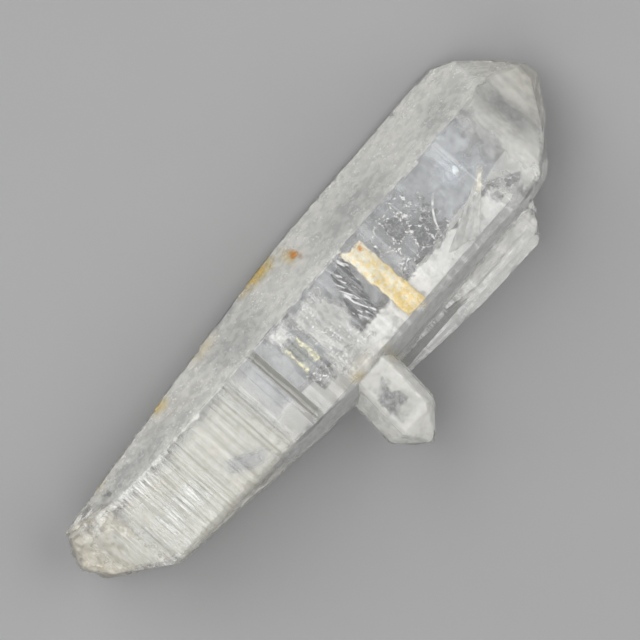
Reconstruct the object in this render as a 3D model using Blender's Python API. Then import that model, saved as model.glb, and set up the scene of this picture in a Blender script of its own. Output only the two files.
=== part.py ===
"""A natural clear quartz point that lies on one of its prism faces.

Three crystals have grown together into one solid: the long main point, a companion that grew
parallel to it along its front, and a short side point that grew out across it. Each of them is a
block cut by flat planes, one plane for each crystal face. A hexagonal prism of quartz has six
sides, 60 degrees apart round its long axis, and each of its planes is given by the side it faces,
by how far it stands from the axis at one place, and by how much it leans towards the axis.

Lengths are in millimetres here and are scaled to metres at the end. +X runs from the broken base
to the tip, +Z is up, and the middle of the part's underside is the origin.
"""

import math
import random

import bmesh
import bpy
from mathutils import Matrix, Vector

MM = 0.001
NAME = "quartz_point"

# Driving dimensions of the main point.
AXIS_Y = 2.80  # the long axis, seen from above
AXIS_Z = 6.5  # the long axis stands this far above the face that it rests on
CENTRING_X = 0.05  # puts the origin halfway between the base and the tip

# Each side's direction round the long axis, in degrees from straight up towards +Y.
SIDES = {
    "roof": 0,
    "back_slope": 60,
    "back_undercut": 120,
    "floor": 180,
    "front_undercut": 240,
    "front_slope": 300,
}
PYRAMID = -0.787  # the lean of quartz's pyramid faces, which stand 38.2 degrees from the axis

# Faces as (side, place along the axis, distance from the axis there, lean: gain per length).
MAIN_FACES = [
    ("roof", -38.7, 2.70, 0.40),
    ("roof", -34.0, 4.50, 0.20),
    ("roof", -27.5, 5.75, 0.085),
    ("roof", -8.1, 6.70, 0.043),
    ("roof", -8.1, 6.70, -0.0125),
    ("roof", 33.4, 6.18, PYRAMID),
    ("back_slope", -38.7, 8.00, 0.10),
    ("back_slope", -24.0, 8.20, 0.019),
    ("back_slope", -9.0, 8.46, -0.002),
    ("back_slope", 38.5, 6.10, -0.88),
    ("back_undercut", -38.7, 7.00, 0.30),
    ("back_undercut", 3.5, 13.10, 0.142),
    ("back_undercut", 3.5, 13.20, 0.020),
    ("back_undercut", 38.5, 8.55, -0.98),
    ("floor", -35.9, AXIS_Z, 1.2),
    ("floor", 0.0, AXIS_Z, 0.0),
    ("floor", 34.2, AXIS_Z, PYRAMID),
    ("front_undercut", -33.3, 2.40, 0.10),
    ("front_undercut", 4.1, 6.00, -0.064),
    ("front_undercut", 33.4, 4.30, -0.70),
    ("front_slope", -19.2, 7.26, 0.10),
    ("front_slope", -2.3, 8.92, 0.002),
    ("front_slope", 30.0, 8.85, -0.10),
    ("front_slope", 33.4, 7.60, -0.94),
]
# The broken ends, as (point, direction that the break faces), in the main point's own frame.
MAIN_BREAKS = [
    ((-41.85, 4.4, 0.0), (-1.0, 0.50, 0.08)),
    ((-41.3, 2.4, 0.0), (-1.0, -0.46, 0.12)),
    ((-38.3, -1.2, 0.0), (-0.87, -1.0, -0.15)),
    ((-34.6, -3.9, 0.0), (-0.75, -1.0, 0.10)),
    ((40.8, 3.4, 0.9), (0.80, -0.25, 0.55)),
]

# The companion's ridge, and the two shelves that join it to the main point.
COMPANION_CENTRE = (0.0, -6.39, 4.0)
RIDGE_FACES = [
    ("roof", 0.0, 3.60, 0.0),
    ("roof", 26.0, 3.60, PYRAMID),
    ("back_slope", 0.0, 1.25, 0.0),
    ("back_undercut", 0.0, 3.60, 0.0),
    ("floor", 0.0, 3.20, 0.0),
    ("floor", 25.0, 3.20, PYRAMID),
    ("front_undercut", 4.0, -0.68, 0.085),
    ("front_undercut", 16.0, 0.36, 0.020),
    ("front_undercut", 26.6, 0.50, PYRAMID),
    ("front_slope", 4.0, 3.50, 0.075),
    ("front_slope", 16.0, 4.48, 0.012),
    ("front_slope", 25.4, 4.52, PYRAMID),
]
RIDGE_BREAKS = [((2.2, 0.0, 0.0), (-1.0, -0.15, -0.30)), ((29.2, 0.0, 1.0), (1.0, -0.20, 0.35))]
LOW_SHELF_FACES = [
    ("roof", 0.0, 1.75, 0.0),
    ("back_slope", 0.0, 5.60, 0.0),
    ("back_undercut", 0.0, 7.40, 0.0),
    ("floor", 0.0, 2.90, 0.0),
    ("front_undercut", 4.0, -1.05, 0.060),
    ("front_slope", 4.0, 3.00, 0.050),
]
LOW_SHELF_BREAKS = [((1.6, 0.0, 0.0), (-1.0, 0.0, -0.20)), ((27.5, 0.0, 0.0), (1.0, -0.10, 0.25))]
HIGH_SHELF_FACES = [
    ("roof", 0.0, 3.20, 0.0),
    ("roof", 27.0, 3.20, -0.60),
    ("back_slope", 0.0, 4.60, 0.0),
    ("back_undercut", 0.0, 7.00, 0.0),
    ("floor", 0.0, 2.60, 0.0),
    ("front_undercut", 16.0, -0.05, 0.020),
    ("front_undercut", 26.3, 0.80, PYRAMID),
    ("front_slope", 16.0, 3.70, 0.020),
    ("front_slope", 26.3, 3.40, PYRAMID),
]
HIGH_SHELF_BREAKS = [((12.5, 0.0, 0.0), (-1.0, 0.0, 0.06)), ((30.6, 0.0, 0.0), (1.0, 0.25, 0.10))]

SIDE_POINT_CENTRE = (-0.8, -8.95, 8.75)
SIDE_POINT_HEADING = (-0.073, -0.987, -0.140)  # its own long axis
SIDE_POINT_FACES = [
    ("roof", 0.0, 3.50, -0.010),
    ("roof", 2.5, 3.48, -0.74),
    ("back_slope", 0.0, 4.45, -0.020),
    ("back_slope", 2.1, 4.41, PYRAMID),
    ("back_undercut", 0.0, 3.00, -0.010),
    ("back_undercut", 3.1, 2.97, PYRAMID),
    ("floor", 0.0, 3.50, 0.0),
    ("floor", 2.2, 3.50, PYRAMID),
    ("front_undercut", 0.0, 3.50, 0.015),
    ("front_undercut", 3.3, 3.55, PYRAMID),
    ("front_slope", 0.0, 3.05, 0.015),
    ("front_slope", 2.9, 3.09, PYRAMID),
]
SIDE_POINT_BREAKS = [((-7.6, 0.0, 3.0), (-0.62, 0.10, 0.78)), ((-11.5, 0.0, 0.0), (-1.0, 0.0, 0.0))]

# Growth bands: rings of the main prism that stand a little proud, as (start, end, step).
GROWTH_BANDS = [
    (-33.6, -32.8, 0.14),
    (-32.2, -28.1, 0.24),
    (-27.4, -26.6, 0.12),
    (-25.9, -24.2, 0.14),
    (-19.4, -15.2, 0.22),
    (-14.2, -13.2, 0.10),
    (-11.8, -8.4, 0.18),
    (-4.6, -1.4, 0.10),
    (6.2, 7.5, 0.20),
    (10.4, 17.4, 0.08),
    (26.6, 31.8, 0.14),
]
BAND_FLOOR_INSET = 0.25  # a band doesn't reach the face that the part rests on
BAND_FLOOR_STEP = 0.04  # and each band ends a little higher than the one before it

# Chips along the sharp edges, as (sides that meet there, first and last place, how many,
# smallest and largest radius).
CHIPPED_EDGES = [
    ("back_slope", "back_undercut", (-36.0, 32.0), 12, 0.45, 1.1),
    ("roof", "back_slope", (-34.0, 32.0), 7, 0.30, 0.6),
    ("front_slope", "front_undercut", (-34.0, -6.0), 6, 0.35, 0.8),
    ("roof", "front_slope", (-33.0, 31.0), 6, 0.25, 0.5),
]
CHIP_OUTSIDE = 0.45  # share of its radius that a chip's centre stands outside the edge, at least

# Shell-shaped hollows where the base broke off, in the main point's frame, as (point that the
# hollow is sunk at, direction it was struck from, radius, depth).
BASE_HOLLOWS = [
    ((-40.2, 3.6, 2.1), (-0.60, 0.05, 0.80), 5.2, 0.45),
    ((-37.4, -0.6, 3.2), (-0.45, -0.35, 0.82), 4.6, 0.42),
    ((-36.2, 4.6, 3.7), (-0.25, 0.20, 0.95), 4.0, 0.30),
    ((-40.0, 6.6, -1.6), (-0.80, 0.55, -0.10), 4.4, 0.45),
    ((-38.8, -0.6, -2.2), (-0.80, -0.60, -0.20), 4.8, 0.50),
    ((-35.2, -3.2, 0.6), (-0.60, -0.80, 0.10), 4.2, 0.40),
    ((-40.8, 2.2, -2.6), (-0.90, -0.10, -0.40), 3.6, 0.40),
]

QUARTZ_COLOUR = (0.78, 0.79, 0.78, 1.0)
BLOCK = 200.0  # edge of the block that each crystal is cut from


def side_direction(side):
    """The direction that a side faces, across the long axis."""
    angle = math.radians(SIDES[side])
    return Vector((0.0, math.sin(angle), math.cos(angle)))


def cut_away(mesh, point, outward):
    """Cuts off what lies beyond a plane and closes the cut with one flat face."""
    everything = mesh.verts[:] + mesh.edges[:] + mesh.faces[:]
    cut = bmesh.ops.bisect_plane(
        mesh, geom=everything, plane_co=point, plane_no=outward, clear_outer=True, dist=1e-5
    )
    rim = [item for item in cut["geom_cut"] if isinstance(item, bmesh.types.BMEdge)]
    if rim:
        bmesh.ops.contextual_create(mesh, geom=rim)


def crystal_mesh(faces, breaks, proud=0.0, inset=0.0):
    """A block cut by crystal faces and by breaks. proud moves its sides out, inset its floor in."""
    mesh = bmesh.new()
    bmesh.ops.create_cube(mesh, size=BLOCK)
    for side, place, distance, lean in faces:
        outward = side_direction(side)
        step = -inset if side == "floor" else proud
        point = Vector((place, 0.0, 0.0)) + outward * (distance + step)
        cut_away(mesh, point, (outward - Vector((lean, 0.0, 0.0))).normalized())
    for point, outward in breaks:
        cut_away(mesh, Vector(point), Vector(outward).normalized())
    bmesh.ops.recalc_face_normals(mesh, faces=mesh.faces)
    return mesh


def as_object(name, mesh, placement, collection):
    """A Blender object from a bmesh, with its place applied to its vertices."""
    mesh.transform(placement)
    data = bpy.data.meshes.new(name)
    mesh.to_mesh(data)
    mesh.free()
    made = bpy.data.objects.new(name, data)
    collection.objects.link(made)
    return made


def along(heading, centre):
    """Turns a crystal's own +X to a heading, keeps its roof up, and moves it to its centre."""
    ahead = Vector(heading).normalized()
    aside = Vector((0.0, 0.0, 1.0)).cross(ahead).normalized()
    upward = ahead.cross(aside)
    turn = Matrix((ahead, aside, upward)).transposed().to_4x4()
    return Matrix.Translation(Vector(centre)) @ turn


def distance_at(side, place):
    """How far the main point's surface stands from its axis on one side, at a place along it."""
    return min(
        distance + lean * (place - at)
        for name, at, distance, lean in MAIN_FACES
        if name == side
    )


def edge_point(first, second, place):
    """Where two neighbouring sides of the main point meet, at a place along its axis."""
    a, b = side_direction(first), side_direction(second)
    reach_a, reach_b = distance_at(first, place), distance_at(second, place)
    span = a.y * b.z - a.z * b.y
    y = (reach_a * b.z - reach_b * a.z) / span
    z = (reach_b * a.y - reach_a * b.y) / span
    return Vector((place, y, z))


def add_stone(stones, centre, radius, turn, stretch, subdivisions=2):
    """One faceted lump to cut with, stretched along the crystal."""
    lump = bmesh.ops.create_icosphere(stones, subdivisions=subdivisions, radius=radius)
    placement = (
        Matrix.Translation(centre)
        @ Matrix.Rotation(turn, 4, Vector((1.0, 0.4, 0.2)))
        @ Matrix.Diagonal((stretch, 1.0, 1.0, 1.0))
    )
    bmesh.ops.transform(stones, matrix=placement, verts=lump["verts"])


def boolean(target, other, operation):
    """Adds an exact Boolean modifier to target."""
    modifier = target.modifiers.new(f"{operation.lower()}_{other.name}", "BOOLEAN")
    modifier.operation = operation
    modifier.solver = "EXACT"
    modifier.object = other


def helper(made):
    """Marks an object as a cutter or a part of a union, which isn't a piece of its own."""
    made.hide_render = True
    made.display_type = "WIRE"
    return made


def quartz_material():
    """Pale, slightly cloudy quartz."""
    material = bpy.data.materials.new("quartz")
    material.use_nodes = True
    shader = material.node_tree.nodes["Principled BSDF"]
    shader.inputs["Base Color"].default_value = QUARTZ_COLOUR
    shader.inputs["Roughness"].default_value = 0.18
    shader.inputs["Metallic"].default_value = 0.0
    shader.inputs["IOR"].default_value = 1.544
    shader.inputs["Transmission Weight"].default_value = 0.8
    return material


def build_bands(placement, collection):
    """The growth bands, each a short slice of the main prism made a little larger."""
    bands = []
    for number, (start, end, step) in enumerate(GROWTH_BANDS):
        ends = [((start, 0.0, 0.0), (-1.0, 0.0, 0.02)), ((end, 0.0, 0.0), (1.0, 0.0, -0.01))]
        inset = BAND_FLOOR_INSET + BAND_FLOOR_STEP * number
        mesh = crystal_mesh(MAIN_FACES, ends, proud=step, inset=inset)
        bands.append(helper(as_object(f"growth_band_{number}", mesh, placement, collection)))
    return bands


def build_chips(placement, collection):
    """Lumps along the sharp edges, which chip them when they are cut away."""
    rng = random.Random(7)
    cutters = []
    for first, second, (start, end), count, smallest, largest in CHIPPED_EDGES:
        outward = (side_direction(first) + side_direction(second)).normalized()
        for number in range(count):
            place = start + (end - start) * (number + rng.uniform(0.2, 0.8)) / count
            radius = rng.uniform(smallest, largest)
            centre = edge_point(first, second, place)
            centre += outward * radius * (CHIP_OUTSIDE + 0.25 * rng.random())
            stones = bmesh.new()
            add_stone(stones, centre, radius, rng.uniform(0.0, 3.0), rng.uniform(1.2, 2.6))
            name = f"chip_{first}_{number}"
            cutters.append(helper(as_object(name, stones, placement, collection)))
    return cutters


def build_hollows(placement, collection):
    """Shell-shaped hollows of the broken base."""
    cutters = []
    for number, (point, struck_from, radius, depth) in enumerate(BASE_HOLLOWS):
        centre = Vector(point) + Vector(struck_from).normalized() * (radius - depth)
        stones = bmesh.new()
        add_stone(stones, centre, radius, 0.7 * number, 1.0, subdivisions=3)
        cutters.append(helper(as_object(f"hollow_{number}", stones, placement, collection)))
    return cutters


def build_neighbours(to_metres, collection):
    """The companion, as its ridge and two shelves, and the side point."""
    companion_place = to_metres @ Matrix.Translation(COMPANION_CENTRE)
    side_place = to_metres @ along(SIDE_POINT_HEADING, SIDE_POINT_CENTRE)
    crystals = [
        ("low_shelf", LOW_SHELF_FACES, LOW_SHELF_BREAKS, companion_place),
        ("high_shelf", HIGH_SHELF_FACES, HIGH_SHELF_BREAKS, companion_place),
        ("ridge", RIDGE_FACES, RIDGE_BREAKS, companion_place),
        ("side_point", SIDE_POINT_FACES, SIDE_POINT_BREAKS, side_place),
    ]
    return [
        helper(as_object(name, crystal_mesh(faces, breaks), place, collection))
        for name, faces, breaks, place in crystals
    ]


def main():
    """Clears the scene and builds the quartz point."""
    for old in list(bpy.data.objects):
        bpy.data.objects.remove(old)
    finished = bpy.data.collections.new(NAME)
    helpers = bpy.data.collections.new(f"{NAME}_helpers")
    bpy.context.scene.collection.children.link(finished)
    bpy.context.scene.collection.children.link(helpers)

    to_metres = Matrix.Scale(MM, 4) @ Matrix.Translation((CENTRING_X, 0.0, 0.0))
    main_place = to_metres @ Matrix.Translation((0.0, AXIS_Y, AXIS_Z))
    point = as_object(NAME, crystal_mesh(MAIN_FACES, MAIN_BREAKS), main_place, finished)
    for band in build_bands(main_place, helpers):
        boolean(point, band, "UNION")
    for cutter in build_chips(main_place, helpers) + build_hollows(main_place, helpers):
        boolean(point, cutter, "DIFFERENCE")
    for neighbour in build_neighbours(to_metres, helpers):
        boolean(point, neighbour, "UNION")
    point.data.materials.append(quartz_material())


main()
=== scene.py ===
"""Looks of a natural quartz point that lies on one of its prism faces.

Lengths in the classes are millimetres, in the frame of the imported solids, and become metres where
a mesh is made. +X runs from the broken base to the tip and +Z is up.
"""

import logging
import math
from dataclasses import dataclass, field
from enum import Enum

import bmesh
import bpy
import numpy as np
from mathutils import Matrix, Vector


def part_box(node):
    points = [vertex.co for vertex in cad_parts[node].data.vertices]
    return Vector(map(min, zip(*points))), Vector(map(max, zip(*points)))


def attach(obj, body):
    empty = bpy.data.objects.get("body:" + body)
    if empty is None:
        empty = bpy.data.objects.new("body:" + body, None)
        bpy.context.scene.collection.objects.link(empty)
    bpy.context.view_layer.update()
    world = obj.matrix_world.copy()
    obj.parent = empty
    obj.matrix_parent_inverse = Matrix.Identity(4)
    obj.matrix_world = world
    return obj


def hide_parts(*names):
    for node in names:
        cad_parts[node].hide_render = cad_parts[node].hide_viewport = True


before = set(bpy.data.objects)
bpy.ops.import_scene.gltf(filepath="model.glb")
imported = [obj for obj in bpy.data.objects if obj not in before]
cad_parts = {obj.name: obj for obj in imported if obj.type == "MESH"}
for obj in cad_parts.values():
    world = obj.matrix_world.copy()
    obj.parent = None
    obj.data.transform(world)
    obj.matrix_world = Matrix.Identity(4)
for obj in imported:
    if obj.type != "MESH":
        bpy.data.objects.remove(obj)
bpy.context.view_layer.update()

log = logging.getLogger("quartz_point")

Span = tuple[float, float]
Triple = tuple[float, float, float]
Colour = tuple[float, float, float, float]
Cut = tuple[Triple, Triple]  # a plane, as a point and its outward direction

MM = 0.001
NODE = "quartz_point"
BODY = "root"
FROST = "frost"
NOISE_MIDDLE = 0.5  # about the mean of a noise texture
SPECKLE = 1.3  # scale of the finer noise that mottles every finish
SEED = 11


class Side(Enum):
    """The six sides of a quartz prism, each with its direction in degrees from up towards +Y."""

    ROOF = 0
    BACK_SLOPE = 60
    BACK_UNDERCUT = 120
    FLOOR = 180
    FRONT_UNDERCUT = 240
    FRONT_SLOPE = 300

    @property
    def outward(self) -> np.ndarray:
        """The side's outward direction across the long axis, as (y, z)."""
        angle = math.radians(self.value)
        return np.array((math.sin(angle), math.cos(angle)))


SIDES = tuple(Side)
CORNER_SINE = math.sin(math.radians(60))
NARROWEST_FACE = 0.02
BREAK_MARGIN = 0.5
BOX_MARGIN = 0.002
PYRAMID = -0.787  # lean of the tip's faces
LEDGE_SHARES = np.array((0.45, 0.30, 0.8, 0.0, 0.6, 0.4))  # a ledge's height on each side
RAMP_STATIONS = np.array((-1.0, -0.33, 0.33, 1.0))  # places on a ramp, in half widths
GROOVE_EDGE = 0.12
LEAST_PITCH = 0.015
CAP_SHARES = np.array((0.85, 0.68, 0.5, 0.32, 0.15))  # sizes of the rings that close an end
CORNER_ROUNDS = 4
HOLD_ROUNDS = 8


# ------------------------------ curves and noise


def smooth(low: float | np.ndarray, high: float | np.ndarray, value: np.ndarray) -> np.ndarray:
    """A smooth ramp from 0 at low to 1 at high: 3t squared less 2t cubed.

    Args:
        low: Where the ramp starts.
        high: Where the ramp ends.
        value: Where it is read.

    Returns:
        The ramp's height at each value.
    """
    t = np.clip((value - low) / (high - low), 0.0, 1.0)
    return t * t * (3.0 - 2.0 * t)


def plateau(start: np.ndarray, end: np.ndarray, edge: float, value: np.ndarray) -> np.ndarray:
    """A flat-topped bump: a rising ramp at start times a falling ramp at end.

    Args:
        start: Where the bump starts.
        end: Where the bump ends.
        edge: Width of each ramp.
        value: Where it is read.

    Returns:
        Heights from 0 to 1.
    """
    rise = smooth(start - edge / 2, start + edge / 2, value)
    fall = smooth(end - edge / 2, end + edge / 2, value)
    return rise * (1.0 - fall)


class Lattice:
    """Smooth noise: random heights on a square lattice, blended smoothly between its points."""

    size = 64
    octave_shift = (7.3, 3.1)

    def __init__(self, seed: int) -> None:
        """Draws the lattice's heights from a seed."""
        draw = np.random.default_rng(seed)
        self.heights = draw.uniform(-1.0, 1.0, (self.size, self.size))

    def at(self, a: np.ndarray, b: np.ndarray) -> np.ndarray:
        """The noise, which repeats after the lattice's size.

        Args:
            a: First coordinate on the lattice.
            b: Second coordinate on the lattice.

        Returns:
            Heights from -1 to 1.
        """
        a, b = np.broadcast_arrays(a, b)
        low_a, low_b = np.floor(a).astype(int), np.floor(b).astype(int)
        ta, tb = a - low_a, b - low_b
        ta, tb = ta * ta * (3 - 2 * ta), tb * tb * (3 - 2 * tb)
        h, n = self.heights, self.size
        near = h[low_a % n, low_b % n] * (1 - ta) + h[(low_a + 1) % n, low_b % n] * ta
        far = h[low_a % n, (low_b + 1) % n] * (1 - ta) + h[(low_a + 1) % n, (low_b + 1) % n] * ta
        return near * (1 - tb) + far * tb

    def layers(self, a: np.ndarray, b: np.ndarray, count: int = 4) -> np.ndarray:
        """Noise at doubling frequencies and halving heights, summed."""
        da, db = self.octave_shift
        return sum(self.at(a * 2**k + da * k, b * 2**k + db * k) / 2**k for k in range(count))


# ------------------------------ meshes


def make_object(name: str, points: np.ndarray, faces: np.ndarray | list) -> bpy.types.Object:
    """A mesh object at the origin, from points in millimetres.

    Args:
        name: Name of the object and its mesh.
        points: Rows of x, y, z.
        faces: Rows or lists of point numbers.

    Returns:
        The object, linked to the scene.
    """
    mesh = bpy.data.meshes.new(name)
    rows = faces.tolist() if isinstance(faces, np.ndarray) else faces
    mesh.from_pydata((points * MM).tolist(), [], rows)
    mesh.validate()
    mesh.update()
    made = bpy.data.objects.new(name, mesh)
    bpy.context.scene.collection.objects.link(made)
    return made


def grid_quads(rows: int, columns: int, closed: bool) -> np.ndarray:
    """Point numbers of the quads of a grid stored row by row.

    Args:
        rows: Points along the first parameter.
        columns: Points along the second parameter.
        closed: Whether the last column joins the first.

    Returns:
        One row of four point numbers for each quad.
    """
    r = np.arange(rows - 1)[:, None]
    c = np.arange(columns if closed else columns - 1)[None, :]
    after = (c + 1) % columns
    corners = (
        r * columns + c, r * columns + after, (r + 1) * columns + after, (r + 1) * columns + c
    )
    return np.stack(np.broadcast_arrays(*corners), axis=-1).reshape(-1, 4)


def solid_between(name: str, rings: np.ndarray) -> bpy.types.Object:
    """A closed body from rings of points, each end closed by a fan round its middle.

    Args:
        name: Name of the object.
        rings: Points as (station, column, 3), which turn clockwise seen from the first ring.

    Returns:
        The closed object.
    """
    stations, columns, _ = rings.shape
    points = np.concatenate([rings.reshape(-1, 3), rings[0].mean(0)[None], rings[-1].mean(0)[None]])
    first, last = stations * columns, stations * columns + 1
    quads = grid_quads(stations, columns, closed=True)[:, ::-1].tolist()
    here = np.arange(columns)
    after = (here + 1) % columns
    low = np.stack([np.full(columns, first), here, after], -1).tolist()
    top = (stations - 1) * columns
    high = np.stack([np.full(columns, last), top + after, top + here], -1).tolist()
    return make_object(name, points, quads + low + high)


def with_ends(rings: np.ndarray) -> np.ndarray:
    """Adds rings that shrink towards the middle of each end: middle + share * (ring - middle).

    Args:
        rings: Points as (station, column, 3).

    Returns:
        The rings with the ends added.
    """
    blocks = []
    for ring in (rings[0], rings[-1]):
        middle = ring.mean(0)
        blocks.append(middle + CAP_SHARES[:, None, None] * (ring - middle))
    return np.concatenate([blocks[0][::-1], rings, blocks[1]])


def boolean(target: bpy.types.Object, other: bpy.types.Object, operation: str) -> None:
    """Joins other to target or cuts it away, applies the result and removes other.

    Args:
        target: The object that changes.
        other: The closed object that is used up.
        operation: UNION or DIFFERENCE.
    """
    modifier = target.modifiers.new(operation.lower(), "BOOLEAN")
    modifier.operation = operation
    modifier.solver = "MANIFOLD"
    modifier.object = other
    graph = bpy.context.evaluated_depsgraph_get()
    result = bpy.data.meshes.new_from_object(target.evaluated_get(graph))
    target.modifiers.clear()
    old = target.data
    target.data = result
    result.name = target.name
    bpy.data.meshes.remove(old)
    spent = other.data
    bpy.data.objects.remove(other)
    bpy.data.meshes.remove(spent)


# ------------------------------ crystals


@dataclass(frozen=True)
class Plane:
    """One flat crystal face: its distance from the axis at a place along it, and its lean."""

    at: float
    distance: float
    lean: float


@dataclass(frozen=True)
class Plates:
    """Growth plates of one side: seeded rectangles that stand a little above or below the face."""

    count: int
    height: float
    shortest: float
    longest: float
    start: float
    end: float
    narrow: float = 0.08
    wide: float = 0.75
    end_edge: float = 0.1
    side_edge: float = 0.03
    middles: Span = (-0.1, 1.1)


@dataclass(frozen=True)
class Chips:
    """Chips along the edge between a side and the next one: seeded bowls sunk into the edge."""

    side: Side
    start: float
    end: float
    count: int
    smallest: float
    largest: float
    steepness: float = 0.45
    longest: float = 2.6
    spread: Span = (0.1, 0.9)

    def depth(self, x: np.ndarray, inset: np.ndarray, seed: int) -> np.ndarray:
        """How far the chips sink: each is a bowl, deepest on the edge, and the deepest counts.

        Args:
            x: Stations, as (station, 1).
            inset: Distance from the edge, as (station, column).
            seed: Seed of the draw.

        Returns:
            Depths as (station, column).
        """
        draw = np.random.default_rng(seed + self.side.value)
        sunk = np.zeros(inset.shape)
        for number in range(self.count):
            share = (number + draw.uniform(*self.spread)) / self.count
            place = self.start + (self.end - self.start) * share
            radius = draw.uniform(self.smallest, self.largest)
            stretch = draw.uniform(1.0, self.longest)
            away = ((x - place) / stretch) ** 2 + inset**2
            sunk = np.maximum(sunk, (radius**2 - away) * self.steepness / radius)
        return sunk


@dataclass(frozen=True)
class HexCrystal:
    """A quartz prism with its pyramid, as rings of points along its axis.

    The ring at a station is a hexagon. Each side stands from the axis at the least distance of the
    side's planes there, plus its growth ledges, and neighbouring sides meet in the ring's corners.
    Ledges and grooves are (start, end, height), fine is (start, end, pitch), a cut is a point and
    the outward direction of a plane, and rays are the (x, y) of their source and a height.
    """

    name: str
    planes: dict[Side, tuple[Plane, ...]]
    columns: dict[Side, int]
    start: float
    end: float
    pitch: float
    centre: Triple
    heading: Triple = (1.0, 0.0, 0.0)
    ledges: tuple[Triple, ...] = ()
    ledge_edge: float = 0.45
    grooves: tuple[Triple, ...] = ()
    fine: Triple | None = None
    plates: dict[Side, tuple[Plates, ...]] = field(default_factory=dict)
    chips: tuple[Chips, ...] = ()
    nibble: float = 0.05
    nibble_reach: float = 0.3
    nibble_pitch: float = 1.7
    nibbled: float = 0.25
    waves: float = 0.03
    wave_length: float = 5.0
    waves_across: float = 2.5
    wave_crowding: float = 4.0
    roughening: float = 5.0
    roughening_reach: float = 3.0
    relief_edge: float = 0.5
    cuts: tuple[Cut, ...] = ()
    rough_below: float = -1000.0
    line_height: float = 0.0
    lined_until: float = -15.0
    lines_fade: float = 6.0
    least_lined: float = 0.15
    line_pitch: Span = (2.3, 0.9)
    rays: Triple | None = None
    ray_pitch: Span = (13.0, 0.35)
    ring_pitch: Span = (2.0, 1.3)
    ring_share: float = 0.5
    ray_fade: float = 2.5
    ray_lean: float = 0.12
    tip_margins: float = 1.5
    seed: int = SEED

    def stations(self) -> np.ndarray:
        """Where the rings stand: at an even pitch, in a finer stretch and round each feature.

        Returns:
            Rising places along the axis.
        """
        places = [np.arange(self.start, self.end, self.pitch), [self.end]]
        if self.fine:
            places.append(np.arange(*self.fine))
        for steps, edge in ((self.ledges, self.ledge_edge), (self.grooves, GROOVE_EDGE)):
            for start, end, _ in steps:
                near = RAMP_STATIONS * edge / 2
                places += [start + near, end + near]
        places.append(self.shoulders())
        x = np.unique(np.round(np.concatenate([np.asarray(p) for p in places]), 3))
        x = x[(x >= self.start) & (x <= self.end)]
        keep = np.concatenate([[True], np.diff(x) > LEAST_PITCH])
        return x[keep]

    def shoulders(self) -> np.ndarray:
        """Finds where one plane of a side gives way to the next.

        Two planes stand level at x = (d2 - l2 * a2 - d1 + l1 * a1) / (l1 - l2), where each has
        the distance d at the place a, and the lean l.

        Returns:
            Places along the axis.
        """
        found = []
        for planes in self.planes.values():
            for a in planes:
                for b in planes:
                    if a.lean > b.lean:
                        rise = b.distance - b.lean * b.at - a.distance + a.lean * a.at
                        found.append(rise / (a.lean - b.lean))
        return np.array(found)

    def distances(self, x: np.ndarray) -> np.ndarray:
        """How far each side stands from the axis.

        Args:
            x: Stations.

        Returns:
            Distances as (station, side).
        """
        rows = []
        for side in SIDES:
            planes = self.planes[side]
            reach = [p.distance + p.lean * (x - p.at) for p in planes]
            rows.append(np.minimum.reduce(reach))
        distance = np.stack(rows, -1)
        for start, end, step in self.ledges:
            raised = step * plateau(start, end, self.ledge_edge, x)
            distance += raised[:, None] * LEDGE_SHARES
        for start, end, step in self.grooves:
            distance[:, SIDES.index(Side.ROOF)] -= step * plateau(start, end, GROOVE_EDGE, x)
        for _ in range(CORNER_ROUNDS):
            before, after = np.roll(distance, 1, 1), np.roll(distance, -1, 1)
            distance = np.minimum(distance, before + after - NARROWEST_FACE)
        return distance

    def corners(self, distance: np.ndarray) -> np.ndarray:
        """Where each side meets the next: the point that lies on both of their lines.

        Args:
            distance: Each side's distance from the axis, as (station, side).

        Returns:
            Points as (station, side, (y, z)).
        """
        out = np.array([side.outward for side in SIDES])
        after = np.roll(out, -1, 0)
        reach_after = np.roll(distance, -1, 1)
        y = (distance * after[:, 1] - reach_after * out[:, 1]) / -CORNER_SINE
        z = (reach_after * out[:, 0] - distance * after[:, 0]) / -CORNER_SINE
        return np.stack([y, z], -1)

    def plate_relief(self, side: Side, x: np.ndarray, f: np.ndarray) -> np.ndarray:
        """Heights of a side's growth plates: the sum of seeded flat-topped rectangles.

        Args:
            side: The side.
            x: Stations, as (station, 1).
            f: Places across the side from 0 to 1, as (1, column).

        Returns:
            Heights as (station, column).
        """
        height = np.zeros((x.size, f.size))
        for number, kind in enumerate(self.plates.get(side, ())):
            draw = np.random.default_rng(self.seed + 31 * side.value + number)
            for _ in range(kind.count):
                length = draw.uniform(kind.shortest, kind.longest)
                start = draw.uniform(kind.start, kind.end - length)
                middle, half = draw.uniform(*kind.middles), draw.uniform(kind.narrow, kind.wide)
                step = kind.height * draw.uniform(-1.0, 1.0)
                along = plateau(start, start + length, kind.end_edge, x)
                across = plateau(middle - half, middle + half, kind.side_edge, f)
                height += step * along * across
        along, across = self.line_pitch
        lines = Lattice(self.seed + 90 + side.value).layers(x * along, f * across, 2)
        share = smooth(self.lined_until, self.lined_until - self.lines_fade, x)
        return height + self.line_height * (share + self.least_lined) * lines

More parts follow.
